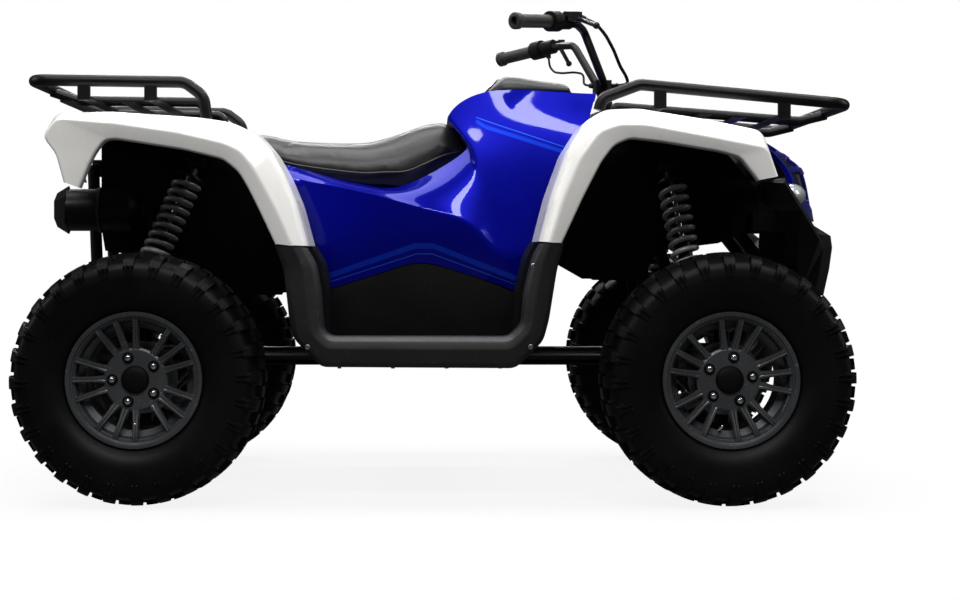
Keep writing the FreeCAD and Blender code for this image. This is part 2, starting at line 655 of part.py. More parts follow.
# Cross members: tubes that end just short of the side tubes they meet, as (x, z, radius of the side tube);
# foot bars that lie on the floor rails; and the two bored blocks of the stem.
crossings = [
    (rear_x - 70, floor_z, tube), (rear_x + post_dx, floor_z, tube), (mid_x - 160, floor_z, tube),
    (mid_x + 150, floor_z, tube), (front_x - post_dx, floor_z, tube), (front_x + 90, floor_z, tube),
    (bulkhead_bar_x, 560, tube), (tail_x, 860, tube), (tail_x + 12, 560, tube),
    (rear_x - 150, size("hitch_height") - clear - cross, tube), (rear_x + post_dx, 505, size("upright_radius")),
    (rear_x + 330, rail_z, tube - 1), (mid_x + 130, rail_z, tube - 1), (front_x - 30, 842, tube),
]
members = []
for x, z, met in crossings:
    reach = rail_y - met - clear
    members.append(rod(on_rail(x, z, -reach), on_rail(x, z, reach), cross))
floor_bottom = size("floor_height") - size("floor_thickness")
foot_bar_r = (floor_bottom - floor_z - tube) / 2 - clear
for x in (mid_x - 160, mid_x + 150):
    foot_bar = rod(Vector(x, 100, floor_bottom - clear - foot_bar_r),
                   Vector(x, 480, floor_bottom - clear - foot_bar_r), foot_bar_r)
    members += [foot_bar, mirrored(foot_bar)]
bore = rod(on_stem(size("pitman_height")), on_stem(960), size("stem_radius") + size("stem_clearance"))
for z, met in ((458, cross), (886, tube - 1)):
    centre = on_stem(z)
    reach = rail_y - met - clear
    bearing = block((centre.x - 30, centre.x + 30), (-reach, reach), (z - 13, z + 13))
    members.append(bearing.cut(bore))
keep("cross_members", Part.makeCompound(members))

# Skid plate under the floor rails.
skid = new_body("skid_plate")
skid_sketch = sketch_on(skid, "skid_outline", "XY_Plane",
                        "sizes.frame_floor - sizes.frame_tube_radius - %g - sizes.skid_thickness" % clear)
edge = "sizes.skid_half_width"
outline(skid_sketch, [
    (REAR + " + 210", "-%s + 30" % edge), (REAR + " + 250", "-%s" % edge), (FRONT + " - 230", "-%s" % edge),
    (FRONT + " - 190", "-%s + 30" % edge), (FRONT + " - 190", "%s - 30" % edge), (FRONT + " - 230", edge),
    (REAR + " + 250", edge), (REAR + " + 210", "%s - 30" % edge),
])
skid_pad = skid.newObject("PartDesign::Pad", "skid_pad")
skid_pad.Profile = skid_sketch
skid_pad.setExpression("Length", "sizes.skid_thickness")
skid.Tip = skid_pad

# Engine and gearbox, one plain block on the cross tubes.
engine = doc.addObject("Part::Box", "engine_block")
engine.Label = "engine_block"
engine.setExpression("Length", "sizes.engine_length")
engine.setExpression("Width", "sizes.engine_width")
engine.setExpression("Height", "sizes.engine_height")
engine.setExpression(".Placement.Base.x", MIDDLE + " - sizes.engine_back")
engine.setExpression(".Placement.Base.y", "-sizes.engine_width / 2")
engine.setExpression(".Placement.Base.z", "sizes.frame_floor + sizes.cross_tube_radius + sizes.seat_clearance")
parts.append(engine)


# Axle drives: a gear housing held at the cross tube, and shafts with boots out to the knuckles.
def gear_housing(axle_x, way):
    half = size("housing_half_width")
    centre = Vector(axle_x, -half, axle_z)
    drum = rod(centre, Vector(axle_x, half, axle_z), size("housing_radius"))
    end = axle_x + way * (post_dx - cross - clear)
    nose = block((min(axle_x, end), max(axle_x, end)), (-34, 34), (axle_z - 30, axle_z + 40))
    return fuse([drum, nose])


def drive_shaft(axle_x, kingpin_y):
    start = size("housing_half_width") + clear
    end = kingpin_y - size("carrier_radius") - 8
    boot = size("boot_radius")

    def at(y):
        return Vector(axle_x, y, axle_z)

    cones = [
        Part.makeCone(boot, 16, 52, at(start), Vector(0, 1, 0)),
        Part.makeCone(16, boot, 52, at(end - 52), Vector(0, 1, 0)),
    ]
    return fuse([rod(at(start), at(end), size("shaft_radius"))] + cones)


keep("gear_housings", Part.makeCompound([gear_housing(front_x, -1), gear_housing(rear_x, 1)]))
shafts = [drive_shaft(front_x, front_kingpin_y), drive_shaft(rear_x, rear_kingpin_y)]
keep("drive_shafts", Part.makeCompound(shafts + [mirrored(s) for s in shafts]))

# Silencer: a can beside the rear rail, with a pipe in to the engine side and an angular end cap.
can_y = -236
can_z = 748


def can_spot(x):
    return Vector(rear_x + x, can_y, can_z)


cap_rings = []
for dx, reach in ((-230, 1.12), (-262, 0.78)):
    ring = []
    for corner in range(6):
        lean = math.radians(60 * corner + 30)
        ring.append(can_spot(dx) + Vector(0, 58 * reach * math.cos(lean), 58 * reach * math.sin(lean)))
    cap_rings.append(ring)
hanger = block((tail_x - 2, tail_x + 22), (can_y + 40, -rail_y - tube - clear), (can_z + 10, can_z + 34))
silencer = fuse([
    rod(can_spot(-232), can_spot(-62), 56), rod(can_spot(-152), can_spot(-140), 60), ringed_solid(cap_rings),
    Part.makeCone(56, 20, 26, can_spot(-62), Vector(1, 0, 0)), hanger,
    bent_tube([can_spot(-38), can_spot(-14), Vector(rear_x - 14, -168, 712),
               Vector(rear_x - 14, -96, 712)], 19, 24),
])
keep("silencer", silencer)


# Fenders. Each station of the arch holds its inner edge, the crease round the flare and the outer edge of
# the deck; the deck runs in from there. Offsets are from the axle, heights above the ground.
def fender(axle_x, stations, side_edges):
    grid = []
    for index, (arch, crease, top) in enumerate(stations):
        top_y = size("flare_side_edge") if index in side_edges else size("flare_top")
        inner_rise = 0 if index in side_edges else size("deck_rise")
        grid.append([
            Vector(axle_x + arch[0], size("flare_face"), arch[1]),
            Vector(axle_x + crease[0], size("flare_crease"), crease[1]),
            Vector(axle_x + top[0], top_y, top[1]),
            Vector(axle_x + top[0], size("flare_inner"), top[1] + inner_rise),
        ])
    return formed_sheet(grid[::-1], skin)


front_stations = [
    ((-420, 658), (-446, 658), (-470, 660)), ((-367, 772), (-412, 768), (-440, 775)),
    ((-322, 859), (-372, 864), (-400, 885)), ((-290, 901), (-324, 930), (-354, 958)),
    ((-249, 919), (-278, 948), (-301, 988)), ((-172, 911), (-215, 948), (-221, 991)),
    ((-20, 885), (-40, 916), (-40, 962)), ((26, 872), (88, 890), (85, 936)),
    ((72, 813), (112, 820), (120, 830)),
]
rear_stations = [
    ((-138, 794), (-168, 806), (-176, 812)), ((-118, 845), (-188, 879), (-196, 885)),
    ((-100, 882), (-220, 920), (-227, 926)), ((-75, 914), (-190, 962), (-200, 980)),
    ((-47, 917), (-55, 953), (-67, 983)),
    ((122, 891), (103, 930), (155, 968)), ((220, 867), (222, 903), (230, 956)),
    ((240, 852), (262, 885), (292, 926)), ((262, 833), (292, 846), (332, 888)),
    ((286, 792), (322, 795), (366, 829)), ((313, 738), (354, 735), (397, 756)),
    ((352, 655), (392, 650), (426, 649)),
]
front_fender = fender(front_x, front_stations, (0, 1, 2, 3))
rear_fender = fender(rear_x, rear_stations, (8, 9, 10, 11))
keep("front_left_fender", front_fender)
keep("front_right_fender", mirrored(front_fender))
keep("rear_left_fender", rear_fender)
keep("rear_right_fender", mirrored(rear_fender))


# Liners close the wheel arches towards the frame; each has a gate for the lugs of its spring leg.
def liner(axle_x, corners, leg):
    face = size("liner_face")
    plate = side_plate([(axle_x + x, z) for x, z in corners], face, face + 4)
    eye_at = leg[1]
    half = size("eye_half_length") + size("lug_thickness") + 2 * clear
    rise = size("eye_radius") + clear
    gate = block((eye_at.x - half, eye_at.x + half), (face - 1, face + 5), (eye_at.z - rise, eye_at.z + rise))
    return plate.cut(gate)


front_liner = liner(front_x, [
    (-440, 640), (-300, 560), (-170, 560), (-120, 640), (40, 660), (150, 700), (150, 800), (60, 910),
    (-60, 925), (-240, 950), (-330, 940),
], front_leg)
rear_liner = liner(rear_x, [
    (-160, 700), (-150, 640), (100, 600), (200, 520), (330, 520), (418, 640), (380, 740), (290, 800),
    (180, 900), (120, 935), (-160, 945),
], rear_leg)
pipe_gate = rod(Vector(rear_x - 14, -size("liner_face") - 9, 712), Vector(rear_x - 14, -140, 712), 24)
keep("arch_liners", Part.makeCompound([
    front_liner, rear_liner, mirrored(front_liner), mirrored(rear_liner).cut(pipe_gate),
]))


# Decks between the fenders. The front one is gated for the stem.
def deck(line):
    half = size("flare_inner") - size("panel_gap")
    grid = []
    for x, z in line:
        across = [(-1, 0), (-0.82, 1), (0, 1), (0.82, 1), (1, 0)]
        grid.append([Vector(x, -share * half, z + size("deck_crown") * rise) for share, rise in across])
    return formed_sheet(grid[::-1], skin)


front_deck = deck(front_deck_line)
stem_gate = rod(on_stem(900), on_stem(1080), size("stem_radius") + 8)
keep("decks", Part.makeCompound([front_deck.cut(stem_gate), deck(rear_deck_line)]))

# Side covers, tank cover and instrument hump. The columns of a side cover run from its lower edge up to the
# seat line and the edge of the tank; offsets are from the middle between the axles.
side_columns = [
    [(-293, 238, 532), (-300, 248, 600), (-330, 250, 690), (-380, 240, 795), (-425, 212, 880)],
    [(-175, 238, 568), (-175, 252, 640), (-180, 254, 720), (-190, 236, 790), (-205, 190, 822)],
    [(-35, 238, 607), (-35, 254, 670), (-35, 255, 735), (-45, 232, 785), (-70, 180, 818)],
    [(85, 238, 580), (90, 254, 655), (95, 248, 745), (100, 215, 850), (104, 168, 926)],
    [(175, 240, 550), (185, 252, 640), (175, 244, 760), (135, 205, 900), (44, 160, 1003)],
    [(240, 242, 526), (262, 250, 640), (276, 240, 760), (272, 205, 905), (158, 158, 1073)],
    [(252, 246, 530), (268, 254, 664), (306, 240, 800), (372, 205, 945), (432, 158, 1066)],
]
side_cover = formed_sheet([[Vector(mid_x + x, y, z) for x, y, z in column]
                           for column in side_columns[::-1]], skin)
keep("left_side_cover", side_cover)
keep("right_side_cover", mirrored(side_cover))

tank_line = [(-1, -2), (-0.62, 3), (0, 5), (0.62, 3), (1, -2)]
tank_spots = [(44, 1003), (158, 1073), (290, 1073), (432, 1066)]
tank_half = size("cover_top") - skin - 2 * clear
tank_grid = [[Vector(mid_x + x, -share * tank_half, z + rise) for share, rise in tank_line]
             for x, z in tank_spots]
keep("tank_cover", formed_sheet(tank_grid[::-1], skin))

hump_base = 1078 + clear
hump_line = [(150, 1, 40), (190, 40, 78), (222, 47, 86), (300, 36, 84), (372, 25, 74), (388, 4, 60)]
hump_rings = []
for x, rise, half in hump_line:
    ring = [(-half, 0), (-half * 0.94, rise * 0.6), (-half * 0.6, rise), (half * 0.6, rise),
            (half * 0.94, rise * 0.6), (half, 0)]
    hump_rings.append([Vector(mid_x + x, y, hump_base + z) for y, z in ring])
keep("instrument_hump", ringed_solid(hump_rings))

# Seat: a single long cushion on the seat rails, its nose against the tank cover.
seat_line = [
    (-530, 900, 952, 112), (-450, 880, 954, 158), (-370, 850, 938, 178), (-205, 820.9, 934, 186),
    (-130, 818.9, 948, 183), (-70, 817.3, 968, 176), (-20, 850, 988, 156), (24, 878, 1000, 128),
    (52, 896, 990, 112), (78, 911, 966, 102), (96, 925, 944, 92),
]
seat_rings = []
for x, low, high, half in seat_line:
    ring = [(-half, low), (-half * 0.98, 0.6 * low + 0.4 * high), (-half * 0.82, high - 12), (-half * 0.46, high),
            (half * 0.46, high), (half * 0.82, high - 12), (half * 0.98, 0.6 * low + 0.4 * high), (half, low)]
    seat_rings.append([Vector(mid_x + x, y, z) for y, z in ring])
keep("seat", ringed_solid(seat_rings))


# Footwells: a raised guard round the outside, a floor with a wall at each end, and the dark lower cover
# below the coloured one.
def footwell(label, side):
    body = new_body(label)
    guard_back = [(346, 652), (369, 590), (383, 465), (394, 419), (462, 349)]
    guard_front = [(-531, 346), (-462, 414), (-448, 465), (-428, 590), (-411, 656)]
    inside_front = [(-471, 656), (-491, 619), (-511, 533), (-516, 457), (-548, 425)]
    inside_back = [(486, 426), (469, 442), (461, 539), (451, 602), (426, 645)]
    ring = from_place(REAR, guard_back) + from_place(FRONT, guard_front)
    ring += from_place(FRONT, inside_front) + from_place(REAR, inside_back)
    side_pad(body, label + "_guard", ring, "sizes.guard_inner", "sizes.guard_face", side)
    doc.recompute()
    floor_top = size("floor_height")
    thick = size("floor_thickness")
    tray = [(426 - thick, 645), (451 - thick, 602), (461 - thick, 539), (462 - thick, floor_top - thick)]
    tray_front = [(-516 + thick, floor_top - thick), (-511 + thick, 533), (-491 + thick, 619), (-471 + thick, 656)]
    tray_in = [(-471, 656), (-491, 619), (-511, 533), (-516, floor_top)]
    tray_back = [(462, floor_top), (461, 539), (451, 602), (426, 645)]
    inside = from_place(REAR, tray) + from_place(FRONT, tray_front)
    inside += from_place(FRONT, tray_in) + from_place(REAR, tray_back)
    side_pad(body, label + "_tray", inside, "sizes.floor_inner", "sizes.guard_inner + 1", side)
    doc.recompute()
    cover_face = "sizes.cover_foot - sizes.panel_thickness - sizes.seat_clearance"
    cover = from_place(REAR, [(462 - thick, floor_top - thick), (470, 540)])
    cover += from_place(MIDDLE, [(-175, 574), (-35, 612), (85, 586), (175, 556)])
    cover += from_place(FRONT, [(-516, 538), (-516 + thick, floor_top - thick)])
    side_pad(body, label + "_cover", cover, cover_face + " - sizes.cover_thickness", cover_face, side)
    doc.recompute()
    sill = from_place(REAR, [(462, floor_top - thick), (462, floor_top)])
    sill += from_place(FRONT, [(-516, floor_top), (-516, floor_top - thick)])
    side_pad(body, label + "_sill", sill, cover_face + " - 1", "sizes.floor_inner + 1", side)
    return body


footwell("right_footwell", 1)
footwell("left_footwell", -1)


# Racks. The outer tube starts at a foot on one fender, runs round the rack and ends at the other foot; two
# inner rails lie lower, on flat bars that hang from the outer tube by square posts.
def rack(foot_x, foot_z, inner_foot_x, deck_line, bend_dx, end_x, top_z, end_z, posts, bars):
    way = 1 if end_x > foot_x else -1
    half = size("rack_half_width")
    r = size("rack_tube_radius")
    inner_r = size("inner_tube_radius")
    offset = size("inner_rail_offset")
    drop = size("inner_rail_drop")

    def height(x):
        return top_z + (end_z - top_z) * (x - foot_x) / (end_x - foot_x)

    side_run = [(foot_x, foot_z), (foot_x + way * 8, top_z - 36), (foot_x + way * bend_dx, top_z)]
    near = [Vector(x, -half, z) for x, z in side_run] + [Vector(end_x, -half, end_z)]
    far = [Vector(p.x, half, p.z) for p in near[::-1]]
    pieces = [bent_tube(near + far, r, size("rack_bend"))]
    for y in (-offset, offset):
        rise_x = end_x - way * 70
        seat_z = max(level(deck_line, inner_foot_x - inner_r), level(deck_line, inner_foot_x + inner_r))
        run = [Vector(inner_foot_x, y, seat_z + size("deck_crown") + clear),
               Vector(inner_foot_x, y, height(inner_foot_x) - drop),
               Vector(rise_x, y, height(rise_x) - drop), Vector(end_x, y, end_z - r / 2)]
        pieces.append(bent_tube(run, inner_r, size("rack_bend")))
    width = size("bar_width")
    for x in bars:
        top = height(x) - drop - inner_r + 3
        reach = half if x in posts else offset + 120
        pieces.append(block((x - width / 2, x + width / 2), (-reach, reach), (top - size("bar_thickness"), top)))
        if x in posts:
            post = size("post_width") / 2
            for y in (-half, half):
                foot = top - size("bar_thickness") - 5
                pieces.append(block((x - post, x + post), (y - 9, y + 9), (foot, height(x))))
    return fuse(pieces)


front_end = front_x + 322
front_posts = (front_x - 156, front_x + 160)
keep("front_rack", rack(front_x - 312, 996.5, front_x - 246, front_deck_line, 104, front_end,
                        size("front_rack_height"), size("front_rack_height") - size("front_rack_slope"),
                        front_posts, front_posts + (front_x - 20, front_x + 70)))
rear_end = rear_x - 285
rear_posts = (rear_x + 20, rear_x - 150)
keep("rear_rack", rack(rear_x + 163, 974.5, rear_x + 130, rear_deck_line, 56, rear_end,
                       size("rear_rack_height") - 6, size("rear_rack_height"),
                       rear_posts, rear_posts + (rear_x - 60, rear_x - 220)))

# Nose cowl, its columns running down the front, and the lamps beside it.
nose_half = [
    (268, ((86, 944), (122, 936), (180, 884), (214, 834), (240, 742))),
    (134, ((86, 948.8), (152, 946), (232, 896), (276, 848), (300, 724))),
    (0, ((86, 950), (176, 952), (262, 902), (306, 852), (332, 722))),
]
nose_columns = [(-y, column) for y, column in nose_half] + nose_half[1::-1]
nose_grid = [[Vector(front_x + x, y, z) for x, z in column] for y, column in nose_columns]
keep("nose_cowl", formed_sheet(nose_grid, skin))

lamp_rings = []
for share in (0, 0.35, 0.7, 1):
    ring = []
    swell = math.sqrt(1.04 - share * share)
    for corner in range(10):
        lean = 2 * math.pi * corner / 10
        ring.append(Vector(front_x + 214 + 34 * swell * math.cos(lean) - 16 * share, 270.5 + 68 * share,
                           786 + 26 * swell * math.sin(lean)))
    lamp_rings.append(ring)
lamp = ringed_solid(lamp_rings)
keep("headlights", both_sides(lamp))

# Front bumper: an angular bow across the front, held by two plates from the frame, with a broad arm up to
# each fender.
bow = []
nose_reach = nose_x - front_x
for y, dx in ((-262, nose_reach - 67.5), (-150, nose_reach - 15.5), (0, nose_reach), (150, nose_reach - 15.5),
              (262, nose_reach - 67.5)):
    bow_x = front_x + dx
    bow.append([Vector(bow_x - 62, y, 716), Vector(bow_x - 4, y, 680), Vector(bow_x, y, 648),
                Vector(bow_x - 8, y, 590), Vector(bow_x - 24, y, 518), Vector(bow_x - 70, y, 518)])
bow_solid = ringed_solid(bow)
arm_sections = []
for y, dx_back, dx_front, z_back, z_front in ((500, 84, 146, 812, 820), (470, 128, 196, 742, 752),
                                             (380, 196, 262, 640, 680),
                                             (262, nose_reach - 131.5, nose_reach - 67.5, 540, 660),
                                             (236, nose_reach - 121.5, nose_reach - 71.5, 545, 655)):
    arm_sections.append([Vector(front_x + dx_back, y, z_back), Vector(front_x + dx_front, y, z_front),
                         Vector(front_x + dx_front - 6, y + 26, z_front - 14),
                         Vector(front_x + dx_back, y + 26, z_back - 4)])
arm_solid = ringed_solid(arm_sections)
stay = block((bulkhead_bar_x + cross + clear, nose_x - 37.5), (70, 90), (545, 600))
keep("front_bumper", fuse([bow_solid, arm_solid, mirrored(arm_solid), stay, mirrored(stay)]))

# Tail: lamps below the rear fenders' end and the hitch plate, bored for a ball.
tail_lamp = block((rear_x - 199, rear_x - 176), (140, 256), (934, 983))
keep("tail_lights", both_sides(tail_lamp))
hitch = new_body("tow_hitch")
hitch_half = "sizes.frame_half_width - sizes.frame_tube_radius - sizes.seat_clearance"
hitch_sketch = sketch_on(hitch, "hitch_outline", "XY_Plane", "sizes.hitch_height")
outline(hitch_sketch, [
    (REAR + " - 250", "-34"), (REAR + " - 176", "-(%s)" % hitch_half), (REAR + " - 140", "-(%s)" % hitch_half),
    (REAR + " - 140", hitch_half), (REAR + " - 176", hitch_half), (REAR + " - 250", "34"),
])
hitch_pad = hitch.newObject("PartDesign::Pad", "hitch_pad")
hitch_pad.Profile = hitch_sketch
hitch_pad.setExpression("Length", "sizes.hitch_thickness")
hitch.Tip = hitch_pad
doc.recompute()
ball_sketch = sketch_on(hitch, "ball_hole_outline", "XY_Plane", "sizes.hitch_height")
ball_circle = Part.Circle(Vector(rear_x - 218, 0, 0), Vector(0, 0, 1), size("ball_hole_radius"))
ball_sketch.addGeometry(ball_circle, False)
ball_sketch.addConstraint(Sketcher.Constraint("DistanceX", -1, 1, 0, 3, rear_x - 218))
ball_sketch.setExpression("Constraints[0]", REAR + " - 218")
ball_sketch.addConstraint(Sketcher.Constraint("DistanceY", -1, 1, 0, 3, 0))
ball_sketch.addConstraint(Sketcher.Constraint("Radius", 0, size("ball_hole_radius")))
ball_sketch.setExpression("Constraints[2]", "sizes.ball_hole_radius")
ball_hole = hitch.newObject("PartDesign::Pocket", "ball_hole")
ball_hole.Profile = ball_sketch
ball_hole.Reversed = True
ball_hole.setExpression("Length", "sizes.hitch_thickness")
hitch.Tip = ball_hole

# Steering. The stem carries an arm for the tie rods below and the clamp of the handlebar above.
plate_z = size("pitman_height")
pin_x = stem_base.x - size("steering_arm_back")
pin_y = size("pitman_half_width")
pitman = Part.Face(polygon([Vector(pin_x - 13, -pin_y - 13, plate_z), Vector(pin_x + 13, -pin_y - 13, plate_z),
                            Vector(stem_base.x, -24, plate_z), Vector(stem_base.x + 22, 0, plate_z),
                            Vector(stem_base.x, 24, plate_z), Vector(pin_x + 13, pin_y + 13, plate_z),
                            Vector(pin_x - 13, pin_y + 13, plate_z)])).extrude(Vector(0, 0, 9))
bar_centre = Vector(stem_top.x + 2, 0, size("clamp_height"))
clamp = block((bar_centre.x - 22, bar_centre.x + 22), (-46, 46), (bar_centre.z - 15, bar_centre.z + 16))


def bar_points(side):
    """Corners of one half of the handlebar: out of the clamp, up the riser and back along the grip."""
    c = bar_centre
    return [Vector(c.x, side * 66, c.z), Vector(c.x - 66, side * 150, c.z + 138),
            Vector(c.x - 92, side * 222, c.z + 146), Vector(c.x - 172, side * 308, c.z + 141),
            Vector(c.x - 262, side * 398, c.z + 129)]


bar_path = bar_points(-1)[::-1] + bar_points(1)
handlebar = bent_tube(bar_path, size("bar_radius"), 45)
clear_bar = bent_tube(bar_path, size("bar_radius") + clear, 45)

# The brake hose of the right lever runs down in front of the bar, and the throttle cable of the left pod down
# behind it. Both end in glands on the clamp. Points are offsets from the middle of the bar.
def from_bar(x, y, z):
    return bar_centre + Vector(x, y, z)


hose_route = [from_bar(-72, -260, 154), from_bar(-45, -256, 143), from_bar(-17, -236, 117), from_bar(9, -203, 80),
              from_bar(32, -160, 40), from_bar(54, -125, 15), from_bar(63, -84, 0), from_bar(37, -49, 0)]
cable_route = [from_bar(-130, 266, 115), from_bar(-128, 264, 91), from_bar(-116, 240, 70), from_bar(-94, 200, 63),
               from_bar(-66, 150, 60), from_bar(-42, 100, 50), from_bar(-45, 67, 15), from_bar(-29, 47, 10)]


def gland(route, at_end, depth):
    """A round socket in line with one end of a route, reaching back into what carries it."""
    tip, beside = (route[-1], route[-2]) if at_end else (route[0], route[1])
    outward = (beside - tip).normalize()
    return rod(tip - outward * depth, tip - outward * clear, size("gland_radius"))


keep("steering_stem", fuse([rod(stem_base, stem_top, size("stem_radius")), pitman, clamp,
                            gland(hose_route, True, 26), gland(cable_route, True, 14)]).cut(clear_bar))
keep("brake_hose", bent_tube(hose_route, size("hose_radius"), size("hose_bend")))
keep("throttle_cable", bent_tube(cable_route, size("cable_radius"), size("hose_bend")))
keep("handlebar", handlebar)
grip_start, grip_end = bar_points(1)[3:5]
grip_way = (grip_end - grip_start).normalize()
grip = rod(grip_start, grip_end + grip_way * 6, size("grip_radius"))
flange = rod(grip_end - grip_way * 6, grip_end + grip_way * 10, size("grip_radius") + 5)
grip_bore = rod(grip_start - grip_way, grip_end + grip_way * clear, size("bar_radius") + clear)
keep("hand_grips", both_sides(fuse([grip, flange]).cut(grip_bore)))
pod_start = grip_start - grip_way * 34
pod = fuse([
    rod(pod_start, grip_start - grip_way * clear, size("pod_radius")),
    rod(pod_start - grip_way * 46, pod_start, size("pod_radius") - 6),
]).cut(clear_bar)
left_pod = fuse([pod, gland(cable_route, False, 24)]).cut(clear_bar)
keep("control_pods", Part.makeCompound([left_pod, mirrored(pod)]))
lever_pivot = Vector(bar_centre.x - 96, 286, bar_centre.z + 152)
lever_end = Vector(bar_centre.x - 58, 404, bar_centre.z + 116)
lever = fuse([rod(lever_pivot, lever_end, 6), Part.makeSphere(9, lever_end),
              block((lever_pivot.x - 34, lever_pivot.x + 12), (lever_pivot.y - 40, lever_pivot.y + 10),
                    (lever_pivot.z - 8, lever_pivot.z + 16))])
pod_room = rod(pod_start - grip_way * 60, grip_start, size("pod_radius") + 1)
lever = lever.cut([pod_room, clear_bar])
keep("hand_levers", Part.makeCompound([lever, fuse([mirrored(lever), gland(hose_route, False, 18)])]))

doc.recompute()
for item in doc.Objects:
    assert not {"Invalid", "Error"} & set(item.State), "%s failed: %s" % (item.Label, item.State)
for piece in parts:
    assert not piece.Shape.isNull() and piece.Shape.isValid(), "%s has no valid shape" % piece.Label

os.makedirs("parts", exist_ok=True)
for piece in parts:
    piece.Shape.exportStep("parts/%s.step" % piece.Label)
    print("%-22s solids %2d volume %9.0f" % (piece.Label, len(piece.Shape.Solids), piece.Shape.Volume))
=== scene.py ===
import math

import bmesh
import bpy
import numpy as np
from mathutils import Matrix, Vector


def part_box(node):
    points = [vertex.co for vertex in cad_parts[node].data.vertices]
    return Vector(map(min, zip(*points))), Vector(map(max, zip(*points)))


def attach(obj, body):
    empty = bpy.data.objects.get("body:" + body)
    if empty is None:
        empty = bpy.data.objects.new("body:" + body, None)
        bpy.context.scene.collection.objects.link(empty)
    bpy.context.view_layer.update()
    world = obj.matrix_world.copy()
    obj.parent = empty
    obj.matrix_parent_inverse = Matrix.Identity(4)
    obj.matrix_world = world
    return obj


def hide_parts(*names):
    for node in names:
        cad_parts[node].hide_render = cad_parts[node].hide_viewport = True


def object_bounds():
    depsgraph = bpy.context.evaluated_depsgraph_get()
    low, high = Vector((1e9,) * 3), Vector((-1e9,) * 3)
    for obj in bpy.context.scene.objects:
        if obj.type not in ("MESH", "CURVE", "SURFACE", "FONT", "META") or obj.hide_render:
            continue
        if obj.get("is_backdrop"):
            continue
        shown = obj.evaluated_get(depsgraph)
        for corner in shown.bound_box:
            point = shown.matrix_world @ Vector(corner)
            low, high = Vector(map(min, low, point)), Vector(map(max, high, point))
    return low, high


# The machine: a quad bike, loaded as a fixed frame with its front towards +X and its left side towards +Y.
# Points of the pieces are in millimetres, and new_piece turns them into metres.
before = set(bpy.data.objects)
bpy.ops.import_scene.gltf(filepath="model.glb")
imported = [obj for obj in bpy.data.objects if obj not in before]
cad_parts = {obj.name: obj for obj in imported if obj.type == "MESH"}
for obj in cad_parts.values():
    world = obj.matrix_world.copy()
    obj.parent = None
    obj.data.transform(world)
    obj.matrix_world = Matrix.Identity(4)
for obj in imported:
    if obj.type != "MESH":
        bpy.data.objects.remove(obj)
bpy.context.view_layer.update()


def box_middle(node):
    """The middle of a node's box, in millimetres."""
    low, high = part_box(node)
    return (np.array(low) + np.array(high)) * 500


front_x = box_middle("front_right_tyre")[0]
rear_x = box_middle("rear_right_tyre")[0]
mid_x = (front_x + rear_x) / 2
axle_z = box_middle("front_right_rim")[2]
SIDES = (("right", 1), ("left", -1))


# Camera: level and square to the right side, 4.58 m from the plane of symmetry.
# The picture is shifted, not turned, so that upright edges stay upright.
def in_scene(name, data):
    """A new object of the scene."""
    thing = bpy.data.objects.new(name, data)
    bpy.context.scene.collection.objects.link(thing)
    return thing


camera = in_scene("camera", bpy.data.cameras.new("camera"))
camera.location = (-0.038, -4.575, 0.6147)
camera.rotation_euler = (math.pi / 2, 0, 0)
camera.data.lens = 60.98
camera.data.sensor_width = 36
camera.data.shift_x = 0.0552
camera.data.shift_y = -0.0417
bpy.context.scene.camera = camera
bpy.context.scene.view_settings.view_transform = "Standard"


# Studio: a pale floor that fades to white far away, under soft boxes like those of a product photograph.
# The large box hangs overhead, and smaller ones stand along the sides and at the ends.
def add_node(tree, kind, *values, **settings):
    """A shader node. The settings are its own fields, and each of the values is a pair: the name or number
    of an input, and the number, colour or linked socket that it gets."""
    node = tree.nodes.new("ShaderNode" + kind)
    for field, setting in settings.items():
        setattr(node, field, setting)
    for name, value in values:
        if isinstance(value, bpy.types.NodeSocket):
            tree.links.new(value, node.inputs[name])
        else:
            node.inputs[name].default_value = value
    return node


def remapped(tree, value, before=(0, 1), after=(0, 1), **settings):
    """A value carried from one range to another, and held at the second one's ends."""
    return add_node(tree, "MapRange", ("Value", value), ("From Min", before[0]), ("From Max", before[1]),
                    ("To Min", after[0]), ("To Max", after[1]), **settings).outputs["Result"]


def cleared(block):
    """The empty node tree of a new material or world."""
    block.use_nodes = True
    block.node_tree.nodes.clear()
    return block.node_tree


FLOOR_REACH = 60
floor_corners = [(x * FLOOR_REACH, y * FLOOR_REACH, 0) for x, y in ((-1, -1), (1, -1), (1, 1), (-1, 1))]
floor_mesh = bpy.data.meshes.new("floor")
floor_mesh.from_pydata(floor_corners, [], [(0, 1, 2, 3)])
floor = in_scene("floor", floor_mesh)
floor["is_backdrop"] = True


def floor_paint():
    """Matt pale paint near the object, passing into even white with the distance from the middle."""
    material = bpy.data.materials.new("floor_paint")
    tree = cleared(material)
    place = add_node(tree, "TexCoord").outputs["Object"]
    distance = add_node(tree, "VectorMath", (0, place), operation="LENGTH").outputs["Value"]
    fade = remapped(tree, distance, (0.6, 2.4), (0.88, 1), interpolation_type="SMOOTHSTEP")
    matt = add_node(tree, "BsdfDiffuse", ("Color", (0.8, 0.8, 0.8, 1))).outputs["BSDF"]
    seen = add_node(tree, "LightPath").outputs["Is Camera Ray"]
    dimmed = remapped(tree, seen, after=(0.06, 1))
    glow = add_node(tree, "Emission", ("Strength", dimmed)).outputs["Emission"]
    mix = add_node(tree, "MixShader", ("Fac", fade), (1, matt), (2, glow))
    add_node(tree, "OutputMaterial", ("Surface", mix.outputs["Shader"]))
    return material


floor_mesh.materials.append(floor_paint())


